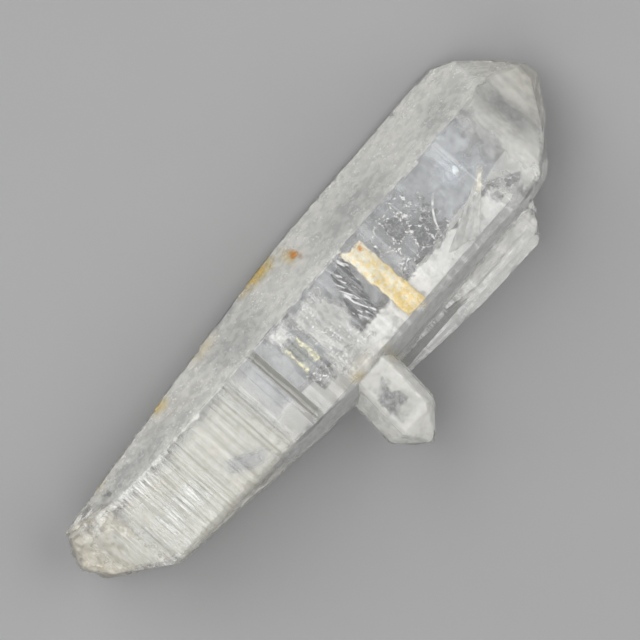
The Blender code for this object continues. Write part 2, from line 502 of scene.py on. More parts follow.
    def edge_wear(self, side: Side, x: np.ndarray, inset: np.ndarray) -> np.ndarray:
        """How far the edge between a side and the next one is worn in: nibbles, then chips.

        Args:
            side: The side before the edge.
            x: Stations, as (station, 1).
            inset: Distance from the edge, as (station, column).

        Returns:
            Shifts across the axis, as (station, column, (y, z)).
        """
        after = SIDES[(SIDES.index(side) + 1) % len(SIDES)]
        inwards = -(side.outward + after.outward) / (2 * CORNER_SINE)
        along = x * self.nibble_pitch
        bites = Lattice(self.seed + side.value).layers(along, np.full_like(x, 0.5), 3)
        bitten = np.clip(bites + self.nibbled, 0.0, 1.0)
        depth = self.nibble * bitten * (1 - smooth(0.0, self.nibble_reach, inset))
        for chips in self.chips:
            if chips.side is side:
                depth = np.maximum(depth, chips.depth(x, inset, self.seed))
        return depth[..., None] * inwards

    def rings(self) -> np.ndarray:
        """Works out the surface: each side's flat face, plus its relief, less its worn edges.

        A flat face is low * (1 - f) + high * f between its two corners, with f from 0 to 1.

        Returns:
            Points in the crystal's own frame, as (station, column, 3).
        """
        x = self.stations()[:, None]
        corner = self.corners(self.distances(x[:, 0]))
        noise = Lattice(self.seed)
        blocks = []
        for number, side in enumerate(SIDES):
            f = np.linspace(0.0, 1.0, self.columns[side], endpoint=False)[None, :]
            low, high = corner[:, None, number - 1], corner[:, None, number]
            flat = low * (1 - f[..., None]) + high * f[..., None]
            width = np.linalg.norm(high - low, axis=-1)
            fade = smooth(0.0, self.relief_edge, np.minimum(f, 1 - f) * width)
            rough = smooth(self.rough_below + self.roughening_reach, self.rough_below, x)
            swell = self.waves * (1 + self.roughening * rough)
            along = x / self.wave_length + 9 * number
            across = f * self.waves_across * (1 + swell * self.wave_crowding)
            wave = swell * noise.layers(along, across, 3)
            relief = fade * (wave + self.plate_relief(side, x, f))
            if self.rays is not None and side is not Side.FLOOR:
                relief = relief + fade * self.ray_relief(x, flat[..., 0])
            if side is Side.FLOOR:
                relief = np.minimum(relief, 0.0)
            flat = flat + relief[..., None] * side.outward
            flat = flat + self.edge_wear(SIDES[number - 1], x, f * width)
            flat = flat + self.edge_wear(side, x, (1 - f) * width)
            along = np.broadcast_to(x, flat.shape[:2])[..., None]
            blocks.append(np.concatenate([along, flat], -1))
        return with_ends(np.concatenate(blocks, axis=1))

    def ray_relief(self, x: np.ndarray, y: np.ndarray) -> np.ndarray:
        """Heights of the ridges that fan out from a point over the rough end.

        The ridges are noise over the angle round the point, and fainter rings cross them.

        Args:
            x: Stations, as (station, 1).
            y: Places across the axis, as (station, column).

        Returns:
            Heights as (station, column).
        """
        at_x, at_y, rise = self.rays
        turn = np.arctan2(y - at_y, x - at_x)
        away = np.hypot(x - at_x, y - at_y)
        ray_turn, ray_away = self.ray_pitch
        ring_turn, ring_away = self.ring_pitch
        ridges = Lattice(self.seed + 7).layers(turn * ray_turn, away * ray_away, 3)
        rings = Lattice(self.seed + 8).layers(turn * ring_turn, away * ring_away, 2)
        fade_from = self.rough_below + self.ray_fade
        share = smooth(fade_from, self.rough_below, x + self.ray_lean * y)
        return rise * share * (ridges + self.ring_share * rings)

    def turn(self) -> np.ndarray:
        """Finds the crystal's own directions in the frame of the whole part.

        Returns:
            The directions ahead, aside and up, as rows.
        """
        ahead = Vector(self.heading).normalized()
        aside = Vector((0.0, 0.0, 1.0)).cross(ahead).normalized()
        return np.array(Matrix((ahead, aside, ahead.cross(aside))))

    def placed(self, points: np.ndarray) -> np.ndarray:
        """Points of the crystal's own frame in the frame of the whole part."""
        return points @ self.turn() + np.array(self.centre)

    def held_inside(self, points: np.ndarray, margin: float) -> np.ndarray:
        """Moves points that lie outside the crystal's sides, less a margin, straight inwards.

        Args:
            points: Points in the frame of the whole part, as (row, column, 3).
            margin: Least distance from each side.

        Returns:
            The moved points.
        """
        own = (points - np.array(self.centre)) @ self.turn().T
        low, high = self.start + margin, self.end - self.tip_margins * margin
        own[..., 0] = np.clip(own[..., 0], low, high)
        reach = self.distances(own[..., 0].reshape(-1)).reshape(*own.shape[:-1], len(SIDES))
        for _ in range(HOLD_ROUNDS):
            for number, side in enumerate(SIDES):
                over = own[..., 1:] @ side.outward - (reach[..., number] - margin)
                own[..., 1:] -= np.maximum(over, 0.0)[..., None] * side.outward
            for point, outward in self.cuts:
                away = np.array(outward) / np.linalg.norm(outward)
                over = (own - np.array(point)) @ away + margin + BREAK_MARGIN
                own -= np.maximum(over, 0.0)[..., None] * away
        return self.placed(own)

    def build(self) -> bpy.types.Object:
        """Makes the closed crystal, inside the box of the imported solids.

        Returns:
            The crystal.
        """
        low, high = (np.array(corner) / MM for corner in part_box(NODE))
        points = np.clip(self.placed(self.rings()), low + BOX_MARGIN, high - BOX_MARGIN)
        made = solid_between(self.name, points)
        log.info("%s: %d faces", self.name, len(made.data.polygons))
        return made


@dataclass(frozen=True)
class Break:
    """A broken end: a block, cut away, whose near face is the broken surface.

    Along the direction that it faces, the surface stands at the least height of its planes, less
    shell-shaped hollows, each a bowl with rings round the point that it was struck from. A plane
    is a point and an outward direction, a shell is (a, b, radius, depth), and a fan is the (a, b)
    that its ridges spread from and their height. A rise is where rings or ridges start, and where
    they are full.
    """

    name: str
    facing: Triple
    planes: tuple[Cut, ...]
    middle: Span
    reach: float
    pitch: float
    shells: tuple[tuple[float, float, float, float], ...] = ()
    grain: float = 0.05
    fan: Triple | None = None
    depth: float = 14.0
    ring_share: float = 0.16
    ring_turns: float = 22.0
    ring_rise: Span = (0.1, 0.5)
    fan_pitch: Span = (7.0, 0.25)
    fan_rise: Span = (0.5, 4.0)
    grain_pitch: float = 1.3

    def axes(self) -> np.ndarray:
        """Finds the break's own directions.

        Returns:
            Two directions across the break and the one that it faces, as rows.
        """
        facing = Vector(self.facing).normalized()
        across = Vector((0.0, 1.0, 0.0)) - facing * facing.y
        across.normalize()
        return np.array((across, facing.cross(across), facing))

    def heights(self, a: np.ndarray, b: np.ndarray) -> np.ndarray:
        """Works out the broken surface.

        A shell of radius r sinks it by depth * exp(-d^2) * (1 + ring_share * cos(ring_turns * d))
        at the distance d * r from its middle.

        Args:
            a: Places along the first direction across.
            b: Places along the second direction across.

        Returns:
            Heights along the direction that the break faces.
        """
        axes = self.axes()
        tops = []
        for point, outward in self.planes:
            slope_a, slope_b, slope_h = axes @ np.array(outward)
            at_a, at_b, at_h = axes @ np.array(point)
            tops.append(at_h - (slope_a * (a - at_a) + slope_b * (b - at_b)) / slope_h)
        height = np.minimum.reduce(tops)
        for at_a, at_b, radius, sunk in self.shells:
            away = np.hypot(a - at_a, b - at_b) / radius
            rise = smooth(*self.ring_rise, away)
            rings = self.ring_share * np.cos(away * self.ring_turns) * rise
            height = height - sunk * np.exp(-(away**2)) * (1.0 + rings)
        if self.fan is not None:
            at_a, at_b, ridge = self.fan
            turn = np.arctan2(b - at_b, a - at_a)
            away = np.hypot(a - at_a, b - at_b)
            rays = Lattice(8).layers(turn * self.fan_pitch[0], away * self.fan_pitch[1], 3)
            height = height - ridge * rays * smooth(*self.fan_rise, away)
        grain = Lattice(5).layers(a * self.grain_pitch, b * self.grain_pitch, 3)
        return height - self.grain * grain

    def build(self) -> bpy.types.Object:
        """Makes the closed block, in the frame of the whole part.

        Returns:
            The block.
        """
        line = np.arange(-self.reach, self.reach, self.pitch)
        a, b = np.meshgrid(self.middle[0] + line, self.middle[1] + line, indexing="ij")
        near = np.stack([a, b, self.heights(a, b)], -1)
        far = near.copy()
        far[..., 2] = near[..., 2].max() + self.depth
        size = line.size
        rim = np.concatenate([
            np.arange(size),
            np.arange(1, size) * size + size - 1,
            (size - 1) * size + np.arange(size - 2, -1, -1),
            np.arange(size - 2, 0, -1) * size,
        ])
        quads = grid_quads(size, size, closed=False)
        count = size * size
        after = np.roll(rim, -1)
        walls = np.stack([rim, after, after + count, rim + count], -1)
        faces = np.concatenate([quads, quads[:, ::-1] + count, walls[:, ::-1]])
        points = np.concatenate([near.reshape(-1, 3), far.reshape(-1, 3)]) @ self.axes()
        return make_object(self.name, points + np.array(MAIN_CENTRE), faces)


# ------------------------------ sheets inside


class Outline(Enum):
    """How a sheet's width runs from its start to its end."""

    FULL = "full"
    OVAL = "oval"
    WEDGE = "wedge"


@dataclass(frozen=True)
class Sheet:
    """A thin closed flake inside the crystal, such as a healed crack or a wisp.

    Its middle surface is start + s * length + (t - 1/2) * width, with s and t from 0 to 1, moved
    along its width by a bend and along its normal by a bow, by waves of noise and by steps across
    it. The two outer surfaces stand half the thickness away and meet at the rim.
    """

    name: str
    start: Triple
    length: Triple
    width: Triple
    outline: Outline = Outline.FULL
    grid: tuple[int, int] = (40, 24)
    bow: float = 0.0
    waves: float = 0.15
    wave_size: float = 3.0
    steps: float = 0.0
    step_count: int = 5
    step_drift: float = 0.6
    step_waves: Span = (4.0, 9.0)
    bend: float = 0.0
    thickness: float = 0.06
    rim_share: float = 0.1
    margin: float = 0.35
    oval_end: float = 0.03
    wedge_end: float = 0.04
    seed: int = 3

    def share_of_width(self, s: np.ndarray) -> np.ndarray:
        """The outline's width: a half circle for an oval and a falling line for a wedge.

        Args:
            s: Places along the sheet, from 0 to 1.

        Returns:
            Widths as shares of the greatest one, never quite zero.
        """
        if self.outline is Outline.OVAL:
            half_circle = np.sqrt(np.clip(1 - (2 * s - 1) ** 2, 0.0, 1.0))
            return half_circle * (1 - self.oval_end) + self.oval_end
        if self.outline is Outline.WEDGE:
            return 1.0 - (1 - self.wedge_end) * s
        return np.ones_like(s)

    def surface(self) -> tuple[np.ndarray, np.ndarray, np.ndarray]:
        """Works out the middle surface.

        A bow lifts it by (1 - (2s - 1)^2) * (1 - (2t - 1)^2), and the steps are a saw of t.

        Returns:
            Its points, its unit normal and its (s, t), each on the grid.
        """
        rows, columns = self.grid
        s, t = np.meshgrid(np.linspace(0, 1, rows), np.linspace(0, 1, columns), indexing="ij")
        length, width = np.array(self.length), np.array(self.width)
        normal = np.cross(length, width)
        normal /= np.linalg.norm(normal)
        noise = Lattice(self.seed)
        along = s * np.linalg.norm(length)
        across = t * np.linalg.norm(width)
        lift = self.bow * (1 - (2 * s - 1) ** 2) * (1 - (2 * t - 1) ** 2)
        lift = lift + self.waves * noise.layers(along / self.wave_size, across / self.wave_size, 3)
        wave_along, wave_across = self.step_waves
        drift = noise.layers(along / wave_along, across / wave_across + 7, 2)
        phase = t * self.step_count + self.step_drift * drift
        saw = np.abs((phase % 1.0) * 2 - 1)
        lift = lift + self.steps * (saw - 0.5)
        middle = (t - 0.5) * self.share_of_width(s)
        points = np.array(self.start) + s[..., None] * length + middle[..., None] * width
        aside = self.bend * (1 - (2 * s - 1) ** 2)
        points = points + aside[..., None] * width / np.linalg.norm(width)
        return points + lift[..., None] * normal, normal, np.stack([s, t], -1)

    def build(self, host: HexCrystal) -> bpy.types.Object:
        """Makes the closed flake with its (s, t) as a UV map.

        Args:
            host: The crystal that it stays inside.

        Returns:
            The flake.
        """
        points, normal, st = self.surface()
        points = host.held_inside(points, self.margin)
        rows, columns = self.grid
        s, t = st[..., 0], st[..., 1]
        edge = np.minimum.reduce([s, 1 - s, t, 1 - t])
        half = 0.5 * self.thickness * smooth(0.0, self.rim_share, edge)
        upper = points + half[..., None] * normal
        lower = points - half[..., None] * normal
        count = rows * columns
        number = np.arange(count).reshape(rows, columns)
        below = number + count
        rim = edge <= 0
        below[rim] = number[rim]
        quads = grid_quads(rows, columns, closed=False)
        under = below.reshape(-1)[quads][:, ::-1]
        made = make_object(
            self.name,
            np.concatenate([upper.reshape(-1, 3), lower.reshape(-1, 3)]),
            np.concatenate([quads, under]),
        )
        add_uv(made, np.concatenate([st.reshape(-1, 2), st.reshape(-1, 2)]))
        drop_loose_points(made)
        made.data.shade_smooth()
        return made


def add_uv(piece: bpy.types.Object, places: np.ndarray) -> None:
    """Gives a piece a UV map.

    Args:
        piece: The piece.
        places: One (u, v) for each of its points.
    """
    mesh = piece.data
    corner_point = np.empty(len(mesh.loops), np.int32)
    mesh.loops.foreach_get("vertex_index", corner_point)
    layer = mesh.uv_layers.new(name="UVMap")
    layer.data.foreach_set("uv", places[corner_point].astype(np.float32).ravel())


def drop_loose_points(piece: bpy.types.Object) -> None:
    """Removes the points that no face uses, and turns every face outwards.

    Args:
        piece: The piece.
    """
    work = bmesh.new()
    work.from_mesh(piece.data)
    loose = [point for point in work.verts if not point.link_faces]
    bmesh.ops.delete(work, geom=loose, context="VERTS")
    bmesh.ops.recalc_face_normals(work, faces=work.faces)
    work.to_mesh(piece.data)
    work.free()


# ------------------------------ shader nodes


class Nodes:
    """Short hand for making the nodes of one tree."""

    def __init__(self, tree: bpy.types.NodeTree) -> None:
        """Takes the tree that the nodes go into."""
        self.tree = tree

    def add(self, kind: str, inputs: dict | None = None, **settings: object) -> bpy.types.Node:
        """Adds a node.

        Args:
            kind: Node type without its "ShaderNode" start.
            inputs: Values or sockets by input name or number.
            settings: The node's own settings.

        Returns:
            The node.
        """
        node = self.tree.nodes.new("ShaderNode" + kind)
        for name, value in settings.items():
            setattr(node, name, value)
        for name, value in (inputs or {}).items():
            self.feed(node.inputs[name], value)
        return node

    def feed(self, socket: bpy.types.NodeSocket, value: object) -> None:
        """Links an input, or sets its own value.

        Args:
            socket: The input.
            value: A socket to link it to, or a value.
        """
        if isinstance(value, bpy.types.NodeSocket):
            self.tree.links.new(value, socket)
        else:
            socket.default_value = value

    def math(self, operation: str, *values: object, **settings: object) -> bpy.types.NodeSocket:
        """Result of a Math node."""
        node = self.add("Math", dict(enumerate(values)), operation=operation, **settings)
        return node.outputs[0]

    def plus(self, first: object, second: object) -> bpy.types.NodeSocket:
        """The sum of two values."""
        return self.math("ADD", first, second)

    def less(self, first: object, second: object) -> bpy.types.NodeSocket:
        """The first value less the second."""
        return self.math("SUBTRACT", first, second)

    def times(self, first: object, second: object) -> bpy.types.NodeSocket:
        """The product of two values."""
        return self.math("MULTIPLY", first, second)

    def most(self, first: object, second: object) -> bpy.types.NodeSocket:
        """The greater of two values."""
        return self.math("MAXIMUM", first, second)

    def share(self, value: object, amounts: Span) -> bpy.types.NodeSocket:
        """The first amount, plus the second amount times the value."""
        return self.plus(self.times(value, amounts[1]), amounts[0])

    def part(self, vector: object, axis: str) -> bpy.types.NodeSocket:
        """One of the X, Y and Z parts of a vector."""
        return self.add("SeparateXYZ", {0: vector}).outputs[axis]

    def fade(self, value: object, low: float, high: float) -> bpy.types.NodeSocket:
        """A smooth ramp from 0 at low to 1 at high, also where low is the higher."""
        node = self.add(
            "MapRange",
            {"Value": value, "From Min": low, "From Max": high},
            interpolation_type="SMOOTHSTEP",
        )
        return node.outputs["Result"]

    def mix(self, share: object, first: object, second: object) -> bpy.types.NodeSocket:
        """Mixes two colours.

        Args:
            share: How much of the second colour there is, from 0 to 1.
            first: The first colour.
            second: The second colour.

        Returns:
            The mixed colour.
        """
        node = self.add("Mix", data_type="RGBA")  # its colours are inputs 6 and 7 and output 2
        self.feed(node.inputs[0], share)
        self.feed(node.inputs[6], first)
        self.feed(node.inputs[7], second)
        return node.outputs[2]

    def noise(
        self, place: object, scale: object, detail: float = 3.0, distortion: float = 0.0
    ) -> bpy.types.NodeSocket:
        """Value of a noise texture, about 0.5 in the middle."""
        node = self.add(
            "TexNoise",
            {"Vector": place, "Scale": scale, "Detail": detail, "Distortion": distortion},
        )
        return node.outputs["Fac"]

    def stretched(self, place: object, factors: Triple) -> bpy.types.NodeSocket:
        """A place with each of its parts multiplied."""
        node = self.add("VectorMath", {0: place, 1: factors}, operation="MULTIPLY")
        return node.outputs[0]

    def millimetres(self, place: object) -> bpy.types.NodeSocket:
        """A place in metres, in millimetres."""
        return self.stretched(place, (1 / MM, 1 / MM, 1 / MM))

    def group(self, tree: bpy.types.NodeTree, inputs: dict) -> bpy.types.Node:
        """Places a shared group.

        Args:
            tree: The group.
            inputs: Values or sockets by input name.

        Returns:
            The group's node.
        """
        node = self.add("Group", node_tree=tree)
        for name, value in inputs.items():
            self.feed(node.inputs[name], value)
        return node


def new_material(name: str) -> tuple[bpy.types.Material, Nodes]:
    """Starts a material.

    Args:
        name: Name of the material.

    Returns:
        The material and its nodes, of which there are none yet.
    """
    material = bpy.data.materials.new(name)
    material.use_nodes = True
    material.node_tree.nodes.clear()
    return material, Nodes(material.node_tree)


def new_group(
    name: str, inputs: dict[str, tuple[str, object]], outputs: dict[str, str]
) -> tuple[Nodes, bpy.types.Node, bpy.types.Node]:
    """Starts a shared group.

    Args:
        name: Name of the group.
        inputs: Socket type and starting value by name.
        outputs: Socket type by name.

    Returns:
        Its nodes, its input node and its output node.
    """
    tree = bpy.data.node_groups.new(name, "ShaderNodeTree")
    for label, (kind, value) in inputs.items():
        socket = tree.interface.new_socket(label, in_out="INPUT", socket_type="NodeSocket" + kind)
        socket.default_value = value
    for label, kind in outputs.items():
        tree.interface.new_socket(label, in_out="OUTPUT", socket_type="NodeSocket" + kind)
    nodes = Nodes(tree)
    enter = tree.nodes.new("NodeGroupInput")
    leave = tree.nodes.new("NodeGroupOutput")
    return nodes, enter, leave


class SharedEffects:
    """The node groups that more than one finish uses, each made once.

    Stretches multiply a place before noise is read there, and a fade runs between two values.
    """

    fine_lines = (4.2, 0.16, 0.16)
    coarse_lines = (1.4, 0.05, 0.05)
    spot_fade = (1.0, 0.15)
    pit_fade = (0.0, 0.6)
    pit_depth = 0.5
    pit_noise = 2.3
    patch_noise = 0.45
    patch_break = 0.35
    patch_fade = (1.12, 1.3)
    bitten_above = 0.35

    def __init__(self) -> None:
        """Makes the groups."""
        self.spot = self.make_spot()
        self.striae = self.make_striae()
        self.pits = self.make_pits()
        self.rim = self.make_rim()

    def make_spot(self) -> bpy.types.NodeTree:
        """Makes a ragged oval mask in millimetres, 1 in its middle and 0 outside its size.

        Its reach is the length of (place - centre) / size, plus the raggedness.

        Returns:
            The group.
        """
        nodes, enter, leave = new_group(
            "ragged_spot",
            {
                "Place": ("Vector", (0, 0, 0)),
                "Centre": ("Vector", (0, 0, 0)),
                "Size": ("Vector", (1, 1, 1)),
                "Raggedness": ("Float", 0.0),
            },
            {"Mask": "Float"},
        )
        place = enter.outputs["Place"]
        centre, size = enter.outputs["Centre"], enter.outputs["Size"]
        away = nodes.add("VectorMath", {0: place, 1: centre}, operation="SUBTRACT")
        scaled = nodes.add("VectorMath", {0: away.outputs[0], 1: size}, operation="DIVIDE")
        reach = nodes.add("VectorMath", {0: scaled.outputs[0]}, operation="LENGTH").outputs["Value"]
        reach = nodes.plus(reach, enter.outputs["Raggedness"])
        nodes.feed(leave.inputs["Mask"], nodes.fade(reach, *self.spot_fade))
        return nodes.tree

    def make_striae(self) -> bpy.types.NodeTree:
        """Makes growth lines across the long axis: noise drawn out across it, at two pitches.

        Returns:
            The group.
        """
        nodes, enter, leave = new_group(
            "growth_lines",
            {"Place": ("Vector", (0, 0, 0)), "Coarse": ("Float", 0.5)},
            {"Height": "Float"},
        )
        place = enter.outputs["Place"]
        fine = nodes.noise(nodes.stretched(place, self.fine_lines), 1.0, 2.0)
        coarse = nodes.noise(nodes.stretched(place, self.coarse_lines), 1.0, 2.0, 0.3)
        height = nodes.plus(fine, nodes.times(coarse, enter.outputs["Coarse"]))
        nodes.feed(leave.inputs["Height"], height)
        return nodes.tree

    def make_pits(self) -> bpy.types.NodeTree:
        """Makes small pits and scales: a cell pattern with noise, as a height and as a mask.

        Returns:
            The group.
        """
        nodes, enter, leave = new_group(
            "pits",
            {"Place": ("Vector", (0, 0, 0)), "Scale": ("Float", 1.5), "Share": ("Float", 0.5)},
            {"Height": "Float", "Mask": "Float"},
        )
        place = enter.outputs["Place"]
        cells = nodes.add("TexVoronoi", {"Vector": place, "Scale": enter.outputs["Scale"]})
        broken = nodes.noise(place, self.pit_noise, 3.0)
        depth = nodes.times(nodes.fade(cells.outputs["Distance"], *self.pit_fade), self.pit_depth)
        nodes.feed(leave.inputs["Height"], nodes.plus(depth, broken))
        cloud = nodes.noise(place, self.patch_noise, 2.0, 0.4)
        patch = nodes.plus(cloud, nodes.times(broken, self.patch_break))
        shift = nodes.plus(patch, enter.outputs["Share"])
        nodes.feed(leave.inputs["Mask"], nodes.fade(shift, *self.patch_fade))
        return nodes.tree

    def make_rim(self) -> bpy.types.NodeTree:
        """Makes a mask that is 1 inside a sheet and 0 at its rim, with a ragged edge between.

        Returns:
            The group.
        """
        nodes, enter, leave = new_group(
            "ragged_rim",
            {
                "Place": ("Vector", (0, 0, 0)),
                "UV": ("Vector", (0, 0, 0)),
                "Depth": ("Float", 0.25),
                "Raggedness": ("Float", 0.3),
                "Scale": ("Float", 0.7),
            },
            {"Mask": "Float"},
        )
        sides = []
        for axis in ("X", "Y"):
            value = nodes.part(enter.outputs["UV"], axis)
            sides.append(nodes.math("MINIMUM", value, nodes.less(1.0, value)))
        inside = nodes.math("MINIMUM", *sides)
        bumps = nodes.noise(enter.outputs["Place"], enter.outputs["Scale"], 2.0)
        bitten = nodes.less(bumps, self.bitten_above)
        eaten = nodes.times(bitten, enter.outputs["Raggedness"])
        left = nodes.less(inside, nodes.most(eaten, 0.0))
        scaled = nodes.math("DIVIDE", left, enter.outputs["Depth"])
        nodes.feed(leave.inputs["Mask"], nodes.fade(scaled, 0.0, 1.0))
        return nodes.tree


@dataclass(frozen=True)
class Spot:
    """A coloured patch on the skin, the same at every height."""

    x: float
    y: float
    length: float
    width: float
    strength: float = 1.0
    height: float = 8.0
    depth: float = 60.0


@dataclass(frozen=True)
class SkinFinish:
    """Clear to milky quartz: mostly see-through, with frosting, growth lines and iron stains.

    A fade runs from its first place or value to its second, and a drift is a noise's scale and
    how far it moves a place. The shares lined, grain and mottle each give the least amount and
    what is added to it at most.
    """

    name: str = "quartz_skin"
    clear: Colour = (0.96, 0.96, 0.945, 1.0)
    cream: Colour = (0.93, 0.89, 0.80, 1.0)
    iron: Colour = (0.86, 0.69, 0.28, 1.0)
    rust: Colour = (0.72, 0.33, 0.06, 1.0)
    see_through: float = 0.90
    roughness: float = 0.12
    frosted: float = 0.30
    light_bending: float = 1.544
    absorbed: Colour = (0.84, 0.84, 0.80, 1.0)
    absorption: float = 18.0
    bump: float = 0.35
    bump_height: float = 0.10
    # grey of the painted shade, which darkens the see-through back slope in patches
    painted_shade: Colour = (0.53, 0.54, 0.555, 1.0)
    spots: tuple[Spot, ...] = ()
    rust_spots: tuple[Spot, ...] = ()
    painted_shade_spots: tuple[Spot, ...] = ()
    base_fade: Span = (-32.0, -37.0)
    base_drift: Span = (0.5, 5.0)
    tip_fade: Span = (37.0, 42.0)
    tip_drift: Span = (0.6, 3.0)
    tip_wear: float = 0.6
    pit_wear: float = 0.6
    cream_fade: Span = (2.0, -30.0)
    cream_left: float = 0.45
    cream_ends: float = 0.75
    streaks: Triple = (0.10, 0.16, 0.16)
    streak_fade: Span = (0.42, 0.62)
    clouds: Triple = (0.34, 0.55, 0.55)
    cloud_share: float = 0.55
    painted_shade_drift: float = 2.8
    spot_drift: float = 1.6
    lined_fade: Span = (-8.0, -24.0)
    lined: Span = (0.2, 0.8)
    grain: Span = (0.05, 0.8)
    mottle: Span = (0.5, 0.35)
    mottle_fade: Span = (0.30, 0.66)

    def drifted(self, nodes: Nodes, place: object, drift: Span) -> bpy.types.NodeSocket:
        """The place along the stone, plus noise at a scale times how far it may move."""
        noise = nodes.noise(place, drift[0], 2.0)
        return nodes.plus(nodes.part(place, "X"), nodes.times(noise, drift[1]))

    def spot_mask(
        self,
        nodes: Nodes,
        place: object,
        ragged: object,
        effects: SharedEffects,
        spots: tuple[Spot, ...],
    ) -> bpy.types.NodeSocket:
        """The strongest of several spots at each place.

        Args:
            nodes: The material's nodes.
            place: Place in millimetres.
            ragged: How far the spots' edges are moved in, about zero in the middle.
            effects: The shared groups.
            spots: The spots.

        Returns:
            The mask, from 0 to 1.
        """
        mask: object = 0.0
        for spot in spots:
            placed = nodes.group(
                effects.spot,
                {
                    "Place": place,
                    "Centre": (spot.x, spot.y, spot.height),
                    "Size": (spot.length, spot.width, spot.depth),
                    "Raggedness": ragged,
                },
            )
            mask = nodes.most(mask, nodes.times(placed.outputs["Mask"], spot.strength))
        return mask

    def colour(
        self, nodes: Nodes, place: object, ends: object, effects: SharedEffects
    ) -> bpy.types.NodeSocket:
        """Works out the colour: clear, then cream, then painted shade, then iron and rust.

        Args:
            nodes: The material's nodes.
            place: Place in millimetres.
            ends: How near a place is to the base or the tip, from 0 to 1.
            effects: The shared groups.

        Returns:
            The colour.
        """
        streaks = nodes.noise(nodes.stretched(place, self.streaks), 1.0, 2.0, 0.5)
        left = nodes.fade(nodes.part(place, "X"), *self.cream_fade)
        streaky = nodes.fade(streaks, *self.streak_fade)
        drift = nodes.times(streaky, nodes.times(left, self.cream_left))
        creamy = nodes.most(drift, nodes.times(ends, self.cream_ends))
        colour = nodes.mix(creamy, self.clear, self.cream)

        cloud = nodes.noise(nodes.stretched(place, self.clouds), 1.0, 3.0, 0.6)
        speckle = nodes.noise(place, SPECKLE, 3.0)
        fine = nodes.times(speckle, 1.0 - self.cloud_share)
        mixed = nodes.plus(nodes.times(cloud, self.cloud_share), fine)
        drifting = nodes.times(nodes.less(mixed, NOISE_MIDDLE), self.painted_shade_drift)
        ragged = nodes.times(nodes.less(speckle, NOISE_MIDDLE), self.spot_drift)
        # patches of painted shade on the see-through back slope
        painted_shade_mask = self.spot_mask(nodes, place, drifting, effects, self.painted_shade_spots)
        mottle = nodes.share(nodes.fade(speckle, *self.mottle_fade), self.mottle)
        colour = nodes.mix(nodes.times(painted_shade_mask, mottle), colour, self.painted_shade)
        for spots, stain in ((self.spots, self.iron), (self.rust_spots, self.rust)):
            mask = self.spot_mask(nodes, place, ragged, effects, spots)
            colour = nodes.mix(mask, colour, stain)
        return colour

    def make(self, effects: SharedEffects) -> bpy.types.Material:
        """Makes the material.

        Args:
            effects: The shared groups.

        Returns:
            The material.
        """
        material, nodes = new_material(self.name)
        place = nodes.millimetres(nodes.add("TexCoord").outputs["Object"])
        x = nodes.part(place, "X")
        base_end = nodes.fade(self.drifted(nodes, place, self.base_drift), *self.base_fade)
        tip_end = nodes.fade(self.drifted(nodes, place, self.tip_drift), *self.tip_fade)
        ends = nodes.most(base_end, nodes.times(tip_end, self.tip_wear))

        pits = nodes.group(effects.pits, {"Place": place, "Scale": 1.6, "Share": 0.42})
        lines = nodes.group(effects.striae, {"Place": place, "Coarse": 0.8})
        frost = nodes.add("Attribute", attribute_name=FROST).outputs["Fac"]
        pitted = nodes.times(pits.outputs["Mask"], self.pit_wear)
        worn = nodes.most(nodes.most(frost, ends), pitted)
        spread = nodes.times(worn, self.frosted - self.roughness)

        line_share = nodes.share(nodes.fade(x, *self.lined_fade), self.lined)
        lined = nodes.times(lines.outputs["Height"], line_share)
        grain = nodes.times(pits.outputs["Height"], nodes.share(frost, self.grain))
        bump = nodes.add(
            "Bump",
            {
                "Strength": self.bump,
                "Distance": self.bump_height * MM,
                "Height": nodes.plus(lined, grain),
            },
        )
        shader = nodes.add(
            "BsdfPrincipled",
            {
                "Base Color": self.colour(nodes, place, ends, effects),
                "Roughness": nodes.plus(spread, self.roughness),
                "Normal": bump.outputs["Normal"],
                "Metallic": 0.0,
                "IOR": self.light_bending,
                "Transmission Weight": self.see_through,
            },
        )
        inside = nodes.add("VolumeAbsorption", {"Color": self.absorbed, "Density": self.absorption})
        out = nodes.add("OutputMaterial", {"Surface": shader.outputs[0]})
        nodes.feed(out.inputs["Volume"], inside.outputs[0])
        return material


class Pattern(Enum):
    """What the surface of an inner sheet shows."""

    SOFT = "soft"
    BLADES = "blades"
    CRACKLE = "crackle"
    SPECKS = "specks"
    RIMMED = "rimmed"


